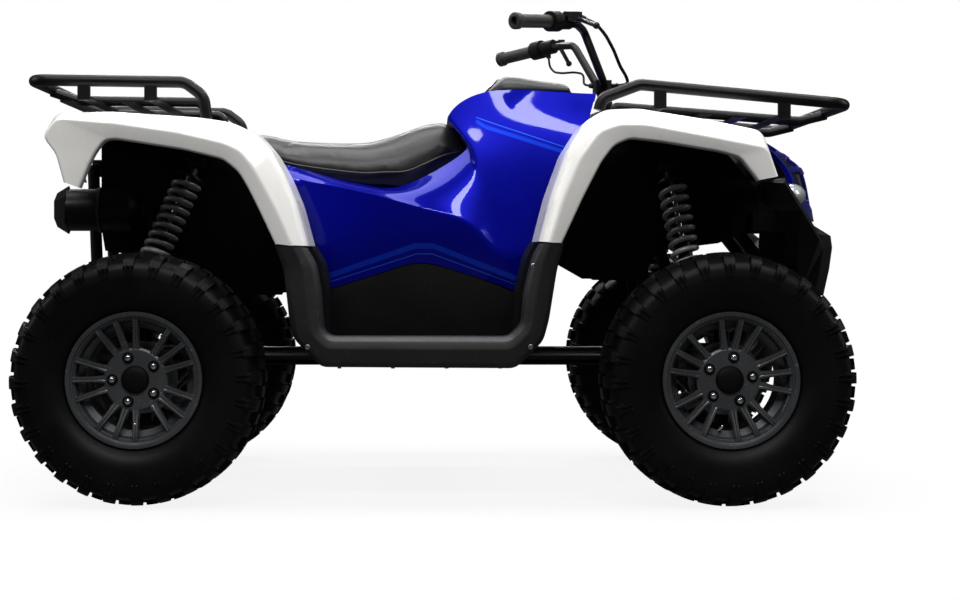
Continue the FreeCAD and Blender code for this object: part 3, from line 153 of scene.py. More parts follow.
def studio_air():
    """White behind the object for the camera, and a weak even light for everything else."""
    world = bpy.data.worlds.new("studio_air")
    tree = cleared(world)
    seen = add_node(tree, "LightPath").outputs["Is Camera Ray"]
    strength = remapped(tree, seen, after=(0.05, 1))
    air = add_node(tree, "Background", ("Color", (1, 1, 1, 1)), ("Strength", strength))
    add_node(tree, "OutputWorld", ("Surface", air.outputs["Background"]))
    return world


bpy.context.scene.world = studio_air()


def soft_box(name, place, target, size, power):
    """A rectangular area light at a place in metres, turned so that its face looks at the target."""
    light = bpy.data.lights.new(name, "AREA")
    light.shape = "RECTANGLE"
    light.size, light.size_y = size
    light.energy = power
    lamp = in_scene(name, light)
    lamp.location = place
    away = np.subtract(place, target)
    tilt = math.atan2(math.hypot(away[0], away[1]), away[2])
    lamp.rotation_euler = (tilt, 0, math.atan2(away[0], -away[1]))


MIDDLE = (0, 0, 0.6)
soft_box("overhead_box", (0, -0.2, 3.4), (0, -0.1, 0.6), (4.4, 1.7), 130)
soft_box("right_box", (-0.1, -3, 3.3), MIDDLE, (4.2, 0.3), 105)
soft_box("left_box", (0.1, 3, 3.3), MIDDLE, (4.2, 0.3), 105)
soft_box("front_box", (4, -0.4, 2.2), MIDDLE, (1.4, 2), 25)
soft_box("back_box", (-4, -0.4, 2.2), MIDDLE, (1.4, 2), 25)


# Frame, lugs, arms, knuckles, tie rods and tow plate: welded steel tube and cast iron, which stay as built.
# They are powder coated: the coat has a fine orange peel, cloudy gloss and small scuffs down to dull metal.
def surface_masks():
    """Masks that most finishes share: slow cloudy patches, sparse sharp scuffs and a fine grain height."""
    group = bpy.data.node_groups.new("surface_masks", "ShaderNodeTree")
    for names, way, kind in ((["Place"], "INPUT", "Vector"),
                             (["Patch Scale", "Grain Scale"], "INPUT", "Float"),
                             (["Patches", "Scuffs", "Grain"], "OUTPUT", "Float")):
        for name in names:
            group.interface.new_socket(name, in_out=way, socket_type="NodeSocket" + kind)
    given = group.nodes.new("NodeGroupInput").outputs
    place = ("Vector", given["Place"])
    patches = add_node(group, "TexNoise", place, ("Scale", given["Patch Scale"]), ("Detail", 5),
                       ("Roughness", 0.62)).outputs["Fac"]
    grain = add_node(group, "TexNoise", place, ("Scale", given["Grain Scale"]), ("Detail", 3))
    scuffs = add_node(group, "TexNoise", place, ("Scale", 90), ("Detail", 8), ("Distortion", 1.4))
    result = group.nodes.new("NodeGroupOutput")
    for name, socket in (("Patches", remapped(group, patches, (0.3, 0.7))),
                         ("Scuffs", remapped(group, scuffs.outputs["Fac"], (0.63, 0.72))),
                         ("Grain", grain.outputs["Fac"])):
        group.links.new(socket, result.inputs[name])
    return group


SURFACE = surface_masks()


def mix_colours(tree, factor, first, second):
    """The result socket of a colour mix, where first and second are colours or sockets."""
    values = [colour + (1,) if isinstance(colour, tuple) else colour for colour in (first, second)]
    return add_node(tree, "Mix", (0, factor), (6, values[0]), (7, values[1]), data_type="RGBA").outputs[2]


def coated(name, dark, light, rough, grain=(700, 0.1), patch=6, scuff=None, extra=None, metal=0, shine=0.5,
           coat=0, coat_rough=0.03):
    """A coated or moulded finish: two tones mixed by the patches, roughness between two values, grain as
    bump of a scale and strength, scuffs in a third tone, and even metal, shine and clear coat. extra may
    change the colour: it gets the node tree, the place and the colour, and returns a colour."""
    material = bpy.data.materials.new(name)
    tree = cleared(material)
    place = add_node(tree, "TexCoord").outputs["Object"]
    masks = add_node(tree, "Group", ("Place", place), ("Patch Scale", patch), ("Grain Scale", grain[0]),
                     node_tree=SURFACE)
    patches = masks.outputs["Patches"]
    colour = mix_colours(tree, patches, dark, light)
    if extra:
        colour = extra(tree, place, colour)
    if scuff:
        colour = mix_colours(tree, masks.outputs["Scuffs"], colour, scuff)
    gloss = remapped(tree, patches, after=rough)
    bump = add_node(tree, "Bump", ("Strength", grain[1]), ("Distance", 0.001),
                    ("Height", masks.outputs["Grain"]))
    shader = add_node(tree, "BsdfPrincipled", ("Base Color", colour), ("Roughness", gloss),
                      ("Normal", bump.outputs["Normal"]), ("Metallic", metal), ("Specular IOR Level", shine),
                      ("Coat Weight", coat), ("Coat Roughness", coat_rough))
    add_node(tree, "OutputMaterial", ("Surface", shader.outputs["BSDF"]))
    return material


black_coat = coated("black_powder_coat", (0.003, 0.003, 0.0035), (0.006, 0.006, 0.0065), (0.32, 0.46),
                    scuff=(0.025, 0.025, 0.026), shine=0.22)
cast_iron = coated("painted_casting", (0.012, 0.012, 0.013), (0.035, 0.035, 0.037), (0.45, 0.7),
                   grain=(260, 0.35), metal=0.4)
zinc = coated("zinc_plate", (0.3, 0.3, 0.3), (0.46, 0.46, 0.45), (0.25, 0.45), grain=(500, 0.12), metal=1)
black_plastic = coated("grained_black_plastic", (0.002, 0.002, 0.0022), (0.004, 0.004, 0.0043),
                       (0.5, 0.64), grain=(900, 0.22), scuff=(0.012, 0.012, 0.0125), shine=0.12)


def dress(material, *nodes, edge=0):
    """Puts one material on carried-over nodes, and rounds their sharp edges by a width in millimetres."""
    for name in nodes:
        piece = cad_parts[name]
        piece.data.materials.clear()
        piece.data.materials.append(material)
        if edge:
            soft = piece.modifiers.new("soft_edges", "BEVEL")
            soft.width = edge / 1000
            soft.segments = 2
            soft.limit_method = "ANGLE"
            soft.angle_limit = math.radians(40)
            soft.harden_normals = True


dress(black_coat, "side_frames", "cross_members", "front_arms", "rear_arms", "tow_hitch", "handlebar",
      "steering_stem", "front_rack", "rear_rack")
dress(cast_iron, "front_left_knuckle", "front_right_knuckle", "rear_knuckles")
dress(zinc, "left_tie_rod", "right_tie_rod")
dress(black_plastic, "skid_plate", "arch_liners", "decks", "brake_hose", "throttle_cable")


# Tyres: moulded rubber on a carcass that bulges over the rim, with staggered lugs out to each shoulder.
# Each is one grid, stations of the profile by columns round the wheel, lifted along the profile's normal
# where a lug or one of the two thin ribs below it stands.
def new_piece(name, grids, material, replaces=(), body="chassis", crease=35, marks=()):
    """One object from grids of points in millimetres, each rows by columns by 3. A cell of a grid is a face,
    points that coincide are merged, and edges sharper than crease degrees stay sharp. marks holds a value a
    point for the first grids, kept as the mesh's attribute mark."""
    corners = []
    first = 0
    for grid in grids:
        rows, columns = grid.shape[:2]
        cells = first + (np.arange(rows - 1)[:, None] * columns + np.arange(columns - 1)).ravel()
        corners.append(np.stack([cells, cells + 1, cells + columns + 1, cells + columns], 1))
        first += rows * columns
    corners = np.concatenate(corners)
    points = np.concatenate([grid.reshape(-1, 3) for grid in grids]) / 1000
    mesh = bpy.data.meshes.new(name)
    mesh.vertices.add(len(points))
    mesh.vertices.foreach_set("co", points.ravel())
    mesh.loops.add(corners.size)
    mesh.loops.foreach_set("vertex_index", corners.ravel())
    mesh.polygons.add(len(corners))
    mesh.polygons.foreach_set("loop_start", np.arange(len(corners)) * 4)
    mesh.update(calc_edges=True)
    if marks:
        values = np.zeros(len(points), np.float32)
        given = np.concatenate([np.ravel(shade_mark) for shade_mark in marks])
        values[:len(given)] = given
        mesh.attributes.new("shade_mark", "FLOAT", "POINT").data.foreach_set("value", values)
    merged = bmesh.new()
    merged.from_mesh(mesh)
    bmesh.ops.remove_doubles(merged, verts=merged.verts, dist=5e-6)
    bmesh.ops.recalc_face_normals(merged, faces=merged.faces)
    merged.to_mesh(mesh)
    merged.free()
    mesh.shade_smooth()
    mesh.set_sharp_from_angle(angle=math.radians(crease))
    mesh.materials.append(material)
    piece = in_scene(name, mesh)
    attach(piece, body)
    if replaces:
        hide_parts(*replaces)
    return piece


LUG_PITCHES = 28
LUG_SKEW = 9
BEAD_INSET = 6.4
LUG_COLUMNS = np.array([-15, -13.5, -10.2, -9.2, -4.8, -3.8, 3.8, 4.8, 9.2, 10.2, 13.5, 15])
LUG_RAISED = np.array([0, 1, 1, 1, 1, 1, 1, 1, 1, 1, 1, 0])
RIB_RAISED = np.array([0, 0, 0, 1, 1, 0, 0, 1, 1, 0, 0, 0])
# Stations from the crown to the bead: share of the half width, radius, lift of the outer lugs, of the inner
# lugs and of the ribs.
TYRE_STATIONS = np.array([
    (0, 305.5, 0, 0, 0), (0.035, 305.4, 0, 0, 0), (0.05, 305.3, 0, 12, 0), (0.25, 304.6, 0, 12, 0),
    (0.42, 303.2, 0, 12, 0), (0.435, 303, 0, 0, 0), (0.475, 302.5, 0, 0, 0), (0.49, 302.3, 12, 0, 0),
    (0.66, 299.4, 12, 0, 0), (0.8, 295.4, 11.5, 0, 0), (0.88, 291.6, 10, 0, 0), (0.94, 287, 7.5, 0, 7.5),
    (0.975, 281.5, 4, 0, 6), (0.99, 275, 0, 0, 4), (1, 267, 0, 0, 3.2), (1.005, 258, 0, 0, 3.2),
    (1.005, 255.5, 0, 0, 0), (1, 245, 0, 0, 0), (0.99, 230, 0, 0, 0), (0.975, 216, 0, 0, 0),
    (0.95, 203, 0, 0, 0), (0.9, 190, 0, 0, 0), (0.84, 180, 0, 0, 0),
])


def half_width(node):
    """Half of a node's size along y, in millimetres."""
    low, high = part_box(node)
    return (high[1] - low[1]) * 500


def unit(rows):
    """The rows, or the single one, scaled to length 1."""
    return rows / np.linalg.norm(rows, axis=-1, keepdims=True)


def raised_round(raised, shifted):
    """Which columns round the whole wheel are raised: the same ones in each pitch, or half a pitch on."""
    flat = np.zeros(len(raised))
    one = np.concatenate([flat, raised] if shifted else [raised, flat])
    return np.append(np.tile(one, LUG_PITCHES), one[0])


def tyre_half(half, bead_y, shifted):
    """Grid of one half. A column at arc s along the tread stands at angle (s + skew |y| / half) / radius of
    the tread, and a point is its station plus the larger of the lug and rib lift times the unit normal. The
    inner lugs stand half a pitch from the outer ones, which are shifted or not."""
    y = TYRE_STATIONS[:, 0] * half
    r = TYRE_STATIONS[:, 1]
    slope = np.stack([np.gradient(y), np.gradient(r)], 1)
    normal = unit(np.stack([-slope[:, 1], slope[:, 0]], 1))
    pitch = 2 * math.pi * TYRE_STATIONS[0, 1] / LUG_PITCHES
    one = np.concatenate([LUG_COLUMNS, LUG_COLUMNS + pitch / 2])
    arc = (np.arange(LUG_PITCHES)[:, None] * pitch + one).ravel()
    arc = np.append(arc, arc[0] + LUG_PITCHES * pitch)
    lift = np.max([TYRE_STATIONS[:, 2:3] * raised_round(LUG_RAISED, shifted),
                   TYRE_STATIONS[:, 3:4] * raised_round(LUG_RAISED, not shifted),
                   TYRE_STATIONS[:, 4:5] * raised_round(RIB_RAISED, shifted)], 0)
    across = y[:, None] + lift * normal[:, :1]
    radius = r[:, None] + lift * normal[:, 1:]
    angle = (arc + LUG_SKEW * TYRE_STATIONS[:, :1]) / TYRE_STATIONS[0, 1]
    inside = np.array([(bead_y + 3, 173), (bead_y, 171.5), (bead_y, 152.9), (bead_y - 12, 153),
                       (0.8 * half, 215), (0.75 * half, 265), (0.5 * half, 285), (0, 290)])
    level_rows = np.ones((1, len(arc)))
    across = np.concatenate([across, inside[:, :1] * level_rows])
    radius = np.concatenate([radius, inside[:, 1:] * level_rows])
    angle = np.concatenate([angle, np.repeat(angle[-1:], len(inside), 0)])
    return across, radius, angle


rubber = coated("tyre_rubber", (0.001, 0.001, 0.0011), (0.0025, 0.0025, 0.0024), (0.42, 0.55),
                grain=(420, 0.14), scuff=(0.006, 0.0059, 0.0057), shine=0.16)
for wheel, way in (("front_right", 1), ("front_left", -1), ("rear_right", 1), ("rear_left", -1)):
    half = half_width(wheel + "_tyre")
    bead_y = half_width(wheel + "_rim") - BEAD_INSET
    centre = box_middle(wheel + "_tyre")
    halves = []
    for hand, shifted in ((way, False), (-way, True)):
        across, radius, angle = tyre_half(half, bead_y, shifted)
        halves.append(np.stack([centre[0] + radius * np.cos(angle), centre[1] - hand * across,
                                centre[2] + radius * np.sin(angle)], 2))
    new_piece("tyre_" + wheel, halves, rubber, [wheel + "_tyre"], wheel + "_wheel", crease=28)


# Rims: cast alloy in dark satin paint, five groups of three narrow spokes between the hub and a stepped lip.
# The parts that turn with them are the steel brake disc, the black cap, five bright nuts and the valve.
# Round each nut a black cup is painted shade, standing for the dark pocket in the hub.
def turned(profile, base, axis, sides=64):
    """A surface of revolution: the point of profile entry (t, r) at angle a is
    base + t axis + r (cos a u + sin a v), where u and v are unit vectors square to the axis."""
    axis = unit(axis)
    aside = unit(np.cross(axis, (0, 0, 1) if abs(axis[2]) < 0.9 else (1, 0, 0)))
    angle = np.linspace(0, 2 * math.pi, sides + 1)
    around = np.cos(angle)[:, None] * aside + np.sin(angle)[:, None] * np.cross(axis, aside)
    profile = np.asarray(profile, float)
    return np.asarray(base) + profile[:, 0, None, None] * axis + profile[:, 1, None, None] * around


def spoke(rim_half, angle):
    """One spoke of a wheel whose axle is the line y = 0, pointing out along -y. Its section is a bevelled
    box with a shallow groove, and rows of it follow the crest u(r) from the hub out to the lip."""
    section = np.array([(-8, -16), (-7.6, -4), (-5.2, 0), (-1.8, 0), (0, -1.6), (1.8, 0), (5.2, 0),
                        (7.6, -4), (8, -16), (0, -16), (-8, -16)])
    crest = np.array([(60, -29), (72, -27), (84, -24), (100, -19), (118, -13.5), (134, -9), (146, -6.5),
                      (152, -7)])
    wide = np.interp(crest[:, 0], (60, 72, 92, 140, 152), (1.9, 1.5, 1.05, 0.95, 1.15))
    along = np.array([math.cos(angle), 0, math.sin(angle)])
    beside = np.array([-math.sin(angle), 0, math.cos(angle)])
    depth = rim_half + crest[:, 1, None] + section[:, 1]
    return (crest[:, 0, None, None] * along + (wide[:, None] * section[:, 0])[:, :, None] * beside
            + depth[:, :, None] * np.array([0, -1, 0]))


def measured(start, line):
    """The line's points with their distances counted from a start."""
    return [(start + t, r) for t, r in line]


def capped(grid):
    """The grid with a row at each end drawn together in the middle of the end row."""
    ends = [np.broadcast_to(row.mean(0), row.shape)[None] for row in (grid[0, :-1], grid[-1, :-1])]
    ends = [np.concatenate([end, end[:, :1]], 1) for end in ends]
    return np.concatenate([ends[0], grid, ends[1]])


gunmetal = coated("gunmetal_paint", (0.07, 0.073, 0.078), (0.1, 0.104, 0.11), (0.34, 0.44),
                  grain=(800, 0.08), scuff=(0.25, 0.25, 0.25), metal=0.6, coat=0.25)
disc_steel = coated("disc_steel", (0.3, 0.3, 0.3), (0.42, 0.42, 0.41), (0.25, 0.4), grain=(300, 0.2),
                    metal=1)
bright_steel = coated("bright_steel", (0.62, 0.62, 0.61), (0.75, 0.75, 0.74), (0.12, 0.22),
                      grain=(600, 0.05), metal=1)
SPOKE_SPREAD = math.radians(19)
HUB_INSET = 26
NUT_CIRCLE = 57
VALVE_CIRCLE = 140
VALVE_LEAN = 0.35
# Lines of turned parts, as distance along the axle and radius. Distances start at the outer lip for the
# rim's front and steps and for the stem, at the inner lip for the rim's back, in the middle of the wheel for
# the disc, and at the hub's face for the rest.
RIM_FRONT = [(0, 169), (-1, 169.6), (-6, 169.6), (-6, 152.5), (-32, 152.5), (-46, 134.5)]
RIM_BACK = [(46, 134.5), (32, 152.5), (6, 152.5), (6, 169.5), (0, 169.5), (0, 158), (8, 146.5), (32, 146.5),
            (46, 128.5)]
RIM_STEPS = [(-46, 128.5), (-34, 143), (-20, 146.5), (-13, 147.2), (-11.5, 148.5), (-11, 152), (-8, 153.5),
             (-6.5, 154.2), (-5.5, 156.4), (-3.2, 157.4), (-1, 158.6), (0, 161), (0, 169)]
STEM_LINE = [(-42, 0), (-42, 4.4), (-30, 4.2), (-29, 3.2), (-12, 3), (-11, 2.2), (-10.5, 0)]
DISC_LINE = [(-15.5, 60), (-15.5, 92), (-11.5, 92), (-11.5, 60), (-12.5, 42), (-15, 42), (-15.5, 60)]
PLATE_LINE = [(0, 35), (0, 74), (-3.5, 79), (-14, 80), (-16, 78), (-16, 42)]
CAP_LINE = [(-5, 0), (-5, 34.5), (3, 34.5), (7, 32), (10, 26), (11.8, 15), (12.4, 0)]
# The cup round each nut is drawn black: painted shade of the pocket it stands for.
POCKET_SHADE_LINE = [(-1, 0), (-1, 14.6), (0.8, 14.2), (1.1, 13.2), (0.3, 12.4), (0.3, 0)]
NUT_LINE = [(0, 0), (0, 9.2), (6, 8.8), (9.5, 7.4), (11.6, 4.6), (12.4, 0)]
out = np.array([0, -1, 0])
for end, first_group, valve_lag in (("front", 8, 108), ("rear", 36, 126)):
    for side, way in SIDES:
        wheel = "%s_%s" % (end, side)
        lip = half_width(wheel + "_rim")
        hub = lip - HUB_INSET
        centre = box_middle(wheel + "_rim")
        barrel = measured(lip, RIM_FRONT) + measured(-lip, RIM_BACK) + measured(lip, RIM_STEPS)
        plate = measured(hub, PLATE_LINE) + [(-11, 42), (-11, 18.6)]
        plate += measured(hub, [(-6, 18.6), (-6, 35), (0, 35)])
        groups = [math.radians(first_group + 72 * k) for k in range(5)]
        casting = [turned(barrel, (0, 0, 0), out, 120), turned(plate, (0, 0, 0), out, 60)]
        casting += [capped(spoke(lip, group + lean)) for group in groups
                    for lean in (-SPOKE_SPREAD, 0, SPOKE_SPREAD)]
        nut_spots = [np.array([NUT_CIRCLE * math.cos(a), -hub, NUT_CIRCLE * math.sin(a)]) for a in groups]
        valve_angle = math.radians(first_group - valve_lag)
        valve_out = np.array([math.cos(valve_angle), 0, math.sin(valve_angle)])
        # The cap's piece also holds the black cups round the nuts: painted shade of their pockets.
        cap = [turned(CAP_LINE, hub * out, out)] + [turned(POCKET_SHADE_LINE, spot, out, 28) for spot in nut_spots]
        bright = [turned(NUT_LINE, spot, out, 28) for spot in nut_spots]
        stem = measured(lip, STEM_LINE)
        bright.append(turned(stem, VALVE_CIRCLE * valve_out, out - VALVE_LEAN * valve_out, 16))
        disc = [turned(DISC_LINE, (0, 0, 0), out, 72)]
        for kind, grids, material, slot, replaced in (
                ("rim_", casting, gunmetal, "gunmetal", [wheel + "_rim"]),
                ("wheel_cap_and_shade_cups_", cap, black_plastic, "black_plastic", ()),
                ("wheel_nuts_", bright, bright_steel, "bare_steel", ()),
                ("brake_disc_", disc, disc_steel, "bare_steel", ())):
            placed = [centre + grid * (1, way, 1) for grid in grids]
            new_piece(kind + wheel, placed, material, replaced, wheel + "_wheel", crease=32)


# Spring legs: painted coil springs of round wire, wound closer at the back, over dampers with a chromed rod,
# a black body, a screwed ring under the coil's seat and a bushed eye at each end.
def circle(radius, sides=14):
    """A closed ring of (a, b) points, radius times (cos, sin) of even steps of angle."""
    angle = np.linspace(0, 2 * math.pi, sides + 1)
    return radius * np.stack([np.cos(angle), np.sin(angle)], 1)


def swept(path, section, lean):
    """A closed section of (a, b) points carried along a path. At a point p with unit tangent t its ring is
    p + a n + b (t x n), where n is the unit part of lean square to t."""
    path = np.asarray(path, float)
    tangent = unit(np.gradient(path, axis=0))
    lean = np.broadcast_to(np.asarray(lean, float), path.shape)
    normal = unit(lean - (lean * tangent).sum(1, keepdims=True) * tangent)
    section = np.asarray(section)
    return (path[:, None] + section[:, 0, None] * normal[:, None]
            + section[:, 1, None] * np.cross(tangent, normal)[:, None])


FRONT_LEG = np.array([(front_x - 44, 322, 470), (front_x - 104, 212, 864)])
REAR_LEG = np.array([(rear_x - 60, 316, 472), (rear_x + 104, 205, 872)])
COIL_RADIUS = 33
WIRE_RADIUS = 7
COIL_FOOT = 0.3
COIL_HEAD = 48


def spring(low, axis, length, turns):
    """The wire's middle is low + d(t) axis + coil radius (cos w u + sin w v), with w = 2 pi turns t. d(t)
    runs from the coil's foot, a share of the leg's length, to its head, a distance below the leg's end."""
    aside = unit(np.cross(axis, (1, 0, 0)))
    t = np.linspace(0, 1, turns * 28 + 1)[:, None]
    angle = 2 * math.pi * turns * t
    outward = np.cos(angle) * aside + np.sin(angle) * np.cross(axis, aside)
    start = COIL_FOOT * length + WIRE_RADIUS
    rise = start + (length - COIL_HEAD - WIRE_RADIUS - start) * t
    middle = low + rise * axis + COIL_RADIUS * outward
    return capped(swept(middle, circle(WIRE_RADIUS, 12), outward))


spring_paint = coated("spring_paint", (0.22, 0.225, 0.235), (0.3, 0.305, 0.315), (0.3, 0.42),
                      grain=(600, 0.1), scuff=(0.3, 0.3, 0.3), metal=0.2, coat=0.2)
# Lines along the leg, as distance and radius: the ring's from the coil's foot, the head's from its head, and
# the eye's and pin's from the middle of an eye.
RING_LINE = [(-24, 19), (-24, 27), (-21, 29), (-12, 29), (-10, 27), (-8, 30), (-8, 38.5), (-5, 40), (-1, 40),
             (0, 39), (0, 19)]
HEAD_LINE = [(0, 8), (0, 39), (1, 40), (5, 40), (8, 38.5), (9, 26), (16, 19), (34, 15), (38, 0)]
EYE_LINE = [(-15, 9), (-16, 11), (-16, 14), (-15, 15), (15, 15), (16, 14), (16, 11), (15, 9)]
PIN_LINE = [(-17.5, 0), (-17.5, 7), (-16, 9), (16, 9), (17.5, 7), (17.5, 0)]
spring_grids, damper_grids, rod_grids = [], [], []
for leg, turns in ((FRONT_LEG, 8), (REAR_LEG, 10)):
    for way in (1, -1):
        low, high = leg * (1, -way, 1)
        length = np.linalg.norm(high - low)
        axis = (high - low) / length
        spring_grids.append(spring(low, axis, length, turns))
        body = [(12, 0), (12, 15), (18, 19), (24, 20)] + measured(length / 2, [(0, 20), (3, 17), (3, 0)])
        for part, start in ((body, 0), (RING_LINE, COIL_FOOT * length), (HEAD_LINE, length - COIL_HEAD)):
            damper_grids.append(turned(part, low + start * axis, axis, 40))
        rod = [(length / 2, 0), (length / 2, 8), (length - 30, 8), (length - 30, 0)]
        rod_grids.append(turned(rod, low, axis, 24))
        for spot in (low, high):
            damper_grids.append(turned(EYE_LINE, spot, (1, 0, 0), 32))
            rod_grids.append(turned(PIN_LINE, spot, (1, 0, 0), 24))
new_piece("springs", spring_grids, spring_paint, ["coil_springs"])
new_piece("damper_bodies", damper_grids, black_coat, ["dampers"])
new_piece("damper_rods", rod_grids, bright_steel)


# Drive line: cast housings with ribs and bolts on the axle lines, shafts in folded rubber boots, and a cast
# engine with cooling ribs. Only their dark outlines show between the wheels and from below.
def slab(low, high):
    """A box as one closed grid: a ring round its foot and one round its top, each drawn together."""
    (x_a, y_a, z_a), (x_b, y_b, z_b) = low, high
    ring = [(x_a, y_a), (x_b, y_a), (x_b, y_b), (x_a, y_b), (x_a, y_a)]
    return capped(np.array([[(x, y, z) for x, y in ring] for z in (z_a, z_b)], float))


def bolt_head(radius):
    """The profile of a bolt's head 4 mm high, with its rim cut off by 1 mm."""
    return [(0, 0), (0, radius), (3, radius), (4, radius - 1), (4, 0)]


cast_metal = coated("cast_metal", (0.03, 0.03, 0.032), (0.07, 0.07, 0.072), (0.42, 0.6), grain=(220, 0.5),
                    patch=14, metal=0.7)
dress(cast_metal, "gear_housings", "engine_block", edge=3)
HOUSING_FACE = 62.3
folds = [(k * 4.4, 33 - k * 1.45 - (4.5 if k % 2 else 0)) for k in range(12)]
inner = [(0, 0)] + folds + [(54, 15), (56, 12)]
boots = []
for axle_x, knuckle_face in ((front_x, 387.5), (rear_x, 363)):
    outer = [(knuckle_face - HOUSING_FACE - t, r) for t, r in inner[::-1]]
    boots += [turned(inner + outer, (axle_x, way * HOUSING_FACE, axle_z), (0, way, 0), 40)
              for way in (-1, 1)]
new_piece("axle_boots", boots, rubber, ["drive_shafts"])
engine_low, engine_high = [np.array(corner) * 1000 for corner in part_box("engine_block")]
RIB_PITCH = 15
RIB_HEIGHT = 3
ribs = []
for way in (-1, 1):
    face = way * (engine_high[1] + 0.5)
    near, far = sorted((face, face + way * RIB_HEIGHT))
    for k in range(9):
        z = engine_high[2] - 24 - RIB_PITCH * k
        ribs.append(slab((engine_low[0] + 40, near, z - 2.5), (engine_high[0] - 150, far, z + 2.5)))
    for x in np.linspace(engine_low[0] + 40, engine_high[0] - 40, 6):
        ribs.append(turned(bolt_head(8), (x, face, engine_low[2] + 30), (0, way, 0), 12))
new_piece("engine_ribs", ribs, cast_metal)


# Fenders: glossy white mouldings. A flat deck turns over a soft shoulder into a leaning side face, a crisp
# crease follows the arch, and a lip returns inwards at the wheel. Heights are above the ground.
def curve_through(points, steps):
    """A smooth curve through rows of points. Between p1 and p2, with t from 0 to 1, it is
    p1 + t (p2 - p0) / 2 + t² (p0 - 5 p1 / 2 + 2 p2 - p3 / 2) + t³ (3 (p1 - p2) + p3 - p0) / 2."""
    points = np.asarray(points, float)
    padded = np.concatenate([2 * points[:1] - points[1:2], points, 2 * points[-1:] - points[-2:-1]])
    p0, p1, p2, p3 = (padded[k:len(padded) - 3 + k, None] for k in range(4))
    t = np.linspace(0, 1, steps, endpoint=False).reshape((1, steps) + (1,) * (points.ndim - 1))
    run = (p1 + t * (p2 - p0) / 2 + t ** 2 * (p0 - 2.5 * p1 + 2 * p2 - 0.5 * p3)
           + t ** 3 * (3 * (p1 - p2) + p3 - p0) / 2)
    return np.concatenate([run.reshape((-1,) + points.shape[1:]), points[-1:]])


def rounded(lines, setback, steps=4, closed=False):
    """Lines of points with round corners. A corner c becomes (1 - t)² a + 2 t (1 - t) c + t² b, where a
    and b lie a setback from it on its sides, or 0.45 of a shorter side. A closed line repeats no point."""
    lines = np.asarray(lines, float)
    if closed:
        lines = np.concatenate([lines[..., -1:, :], lines, lines[..., :1, :]], -2)
    corner = lines[..., 1:-1, :]
    ends = []
    for other in (lines[..., :-2, :], lines[..., 2:, :]):
        length = np.linalg.norm(other - corner, axis=-1, keepdims=True)
        ends.append(corner + (other - corner) / length * np.minimum(setback, 0.45 * length))
    t = np.linspace(0, 1, steps + 1)[:, None]
    bend = ((1 - t) ** 2 * ends[0][..., None, :] + 2 * t * (1 - t) * corner[..., None, :]
            + t ** 2 * ends[1][..., None, :])
    bend = bend.reshape(lines.shape[:-2] + (-1, 3))
    if closed:
        return np.concatenate([bend, bend[..., :1, :]], -2)
    return np.concatenate([lines[..., :1, :], bend, lines[..., -1:, :]], -2)


def skin_normal(skin):
    """The unit normal at each point P of a grid: (dP / dcolumn) x (dP / drow) over its length."""
    normal = np.cross(np.gradient(skin, axis=1), np.gradient(skin, axis=0))
    return normal / np.maximum(np.linalg.norm(normal, axis=2, keepdims=True), 1e-9)


def sheet(outer, inner):
    """A closed sheet as three grids: its two skins and the strip round their rims."""
    rims = [np.concatenate([g[0], g[1:, -1], g[-1, -2::-1], g[-2::-1, 0]]) for g in (outer, inner)]
    return [outer, inner, np.stack(rims)]


def shell(outer, thickness):
    """A sheet whose inner skin lies a thickness behind the outer one, or before it if that is negative."""
    return sheet(outer, outer - skin_normal(outer) * thickness)


SHEET = 3.5
LIP_Y, ARCH_Y, CREASE_Y, DECK_Y = 526, 556, 566, 268
# Stations along each arch: x from the axle and z of the arch's edge, of the crease and of the top.
FRONT_STATIONS = [
    (-420, 658, -446, 658, -470, 660), (-367, 772, -412, 768, -440, 775),
    (-322, 859, -372, 864, -400, 885), (-290, 901, -324, 930, -354, 958),
    (-249, 919, -278, 948, -301, 988), (-172, 911, -215, 948, -221, 991),
    (-20, 885, -40, 916, -40, 962), (26, 872, 88, 890, 85, 936),
    (72, 813, 112, 820, 120, 830),
]
REAR_STATIONS = [
    (-138, 794, -168, 806, -176, 812), (-118, 845, -188, 879, -196, 885),
    (-100, 882, -220, 920, -227, 926), (-75, 914, -190, 962, -200, 980),
    (-47, 917, -55, 953, -67, 983),
    (122, 891, 103, 930, 155, 968), (220, 867, 222, 903, 230, 956),
    (240, 852, 262, 885, 292, 926), (262, 833, 292, 846, 332, 888),
    (286, 792, 322, 795, 366, 829), (313, 738, 354, 735, 397, 756),
    (352, 655, 392, 650, 426, 649),
]


def fender_skin(axle_x, stations, side_edges):
    """Across each station: the lip, the arch edge, the crease, the shoulder and the deck. Corners are round
    both across the stations and along the arch."""
    lines = []
    for index, (arch_x, arch_z, crease_x, crease_z, x, z) in enumerate(stations):
        shoulder, rise = (536, 0) if index in side_edges else (508, 8)
        lines.append([(arch_x, LIP_Y, arch_z), (arch_x, ARCH_Y, arch_z), (crease_x, CREASE_Y, crease_z),
                      (x, shoulder, z), (x, (shoulder + DECK_Y) / 2, z + 0.8 * rise), (x, DECK_Y, z + rise)])
    setbacks = np.array([5, 5, 20, 60])[:, None]
    skin = rounded(rounded(lines, setbacks, 5).swapaxes(0, 1), 16, 5).swapaxes(0, 1)
    return skin + (axle_x, 0, 0)


white_plastic = coated("white_plastic", (0.84, 0.83, 0.8), (0.92, 0.91, 0.885), (0.24, 0.34),
                       grain=(900, 0.05), patch=3, scuff=(0.78, 0.77, 0.74), coat=0.5, coat_rough=0.12)
for end, axle_x, stations, side_edges in (("front", front_x, FRONT_STATIONS, (0, 1, 2, 3)),
                                          ("rear", rear_x, REAR_STATIONS, (8, 9, 10, 11))):
    skin = fender_skin(axle_x, stations, side_edges)
    for side, way in SIDES:
        grids = [grid * (1, -way, 1) for grid in shell(skin, -SHEET)]
        new_piece("fender_%s_%s" % (end, side), grids, white_plastic,
                  ["%s_%s_fender" % (end, side)], crease=24)


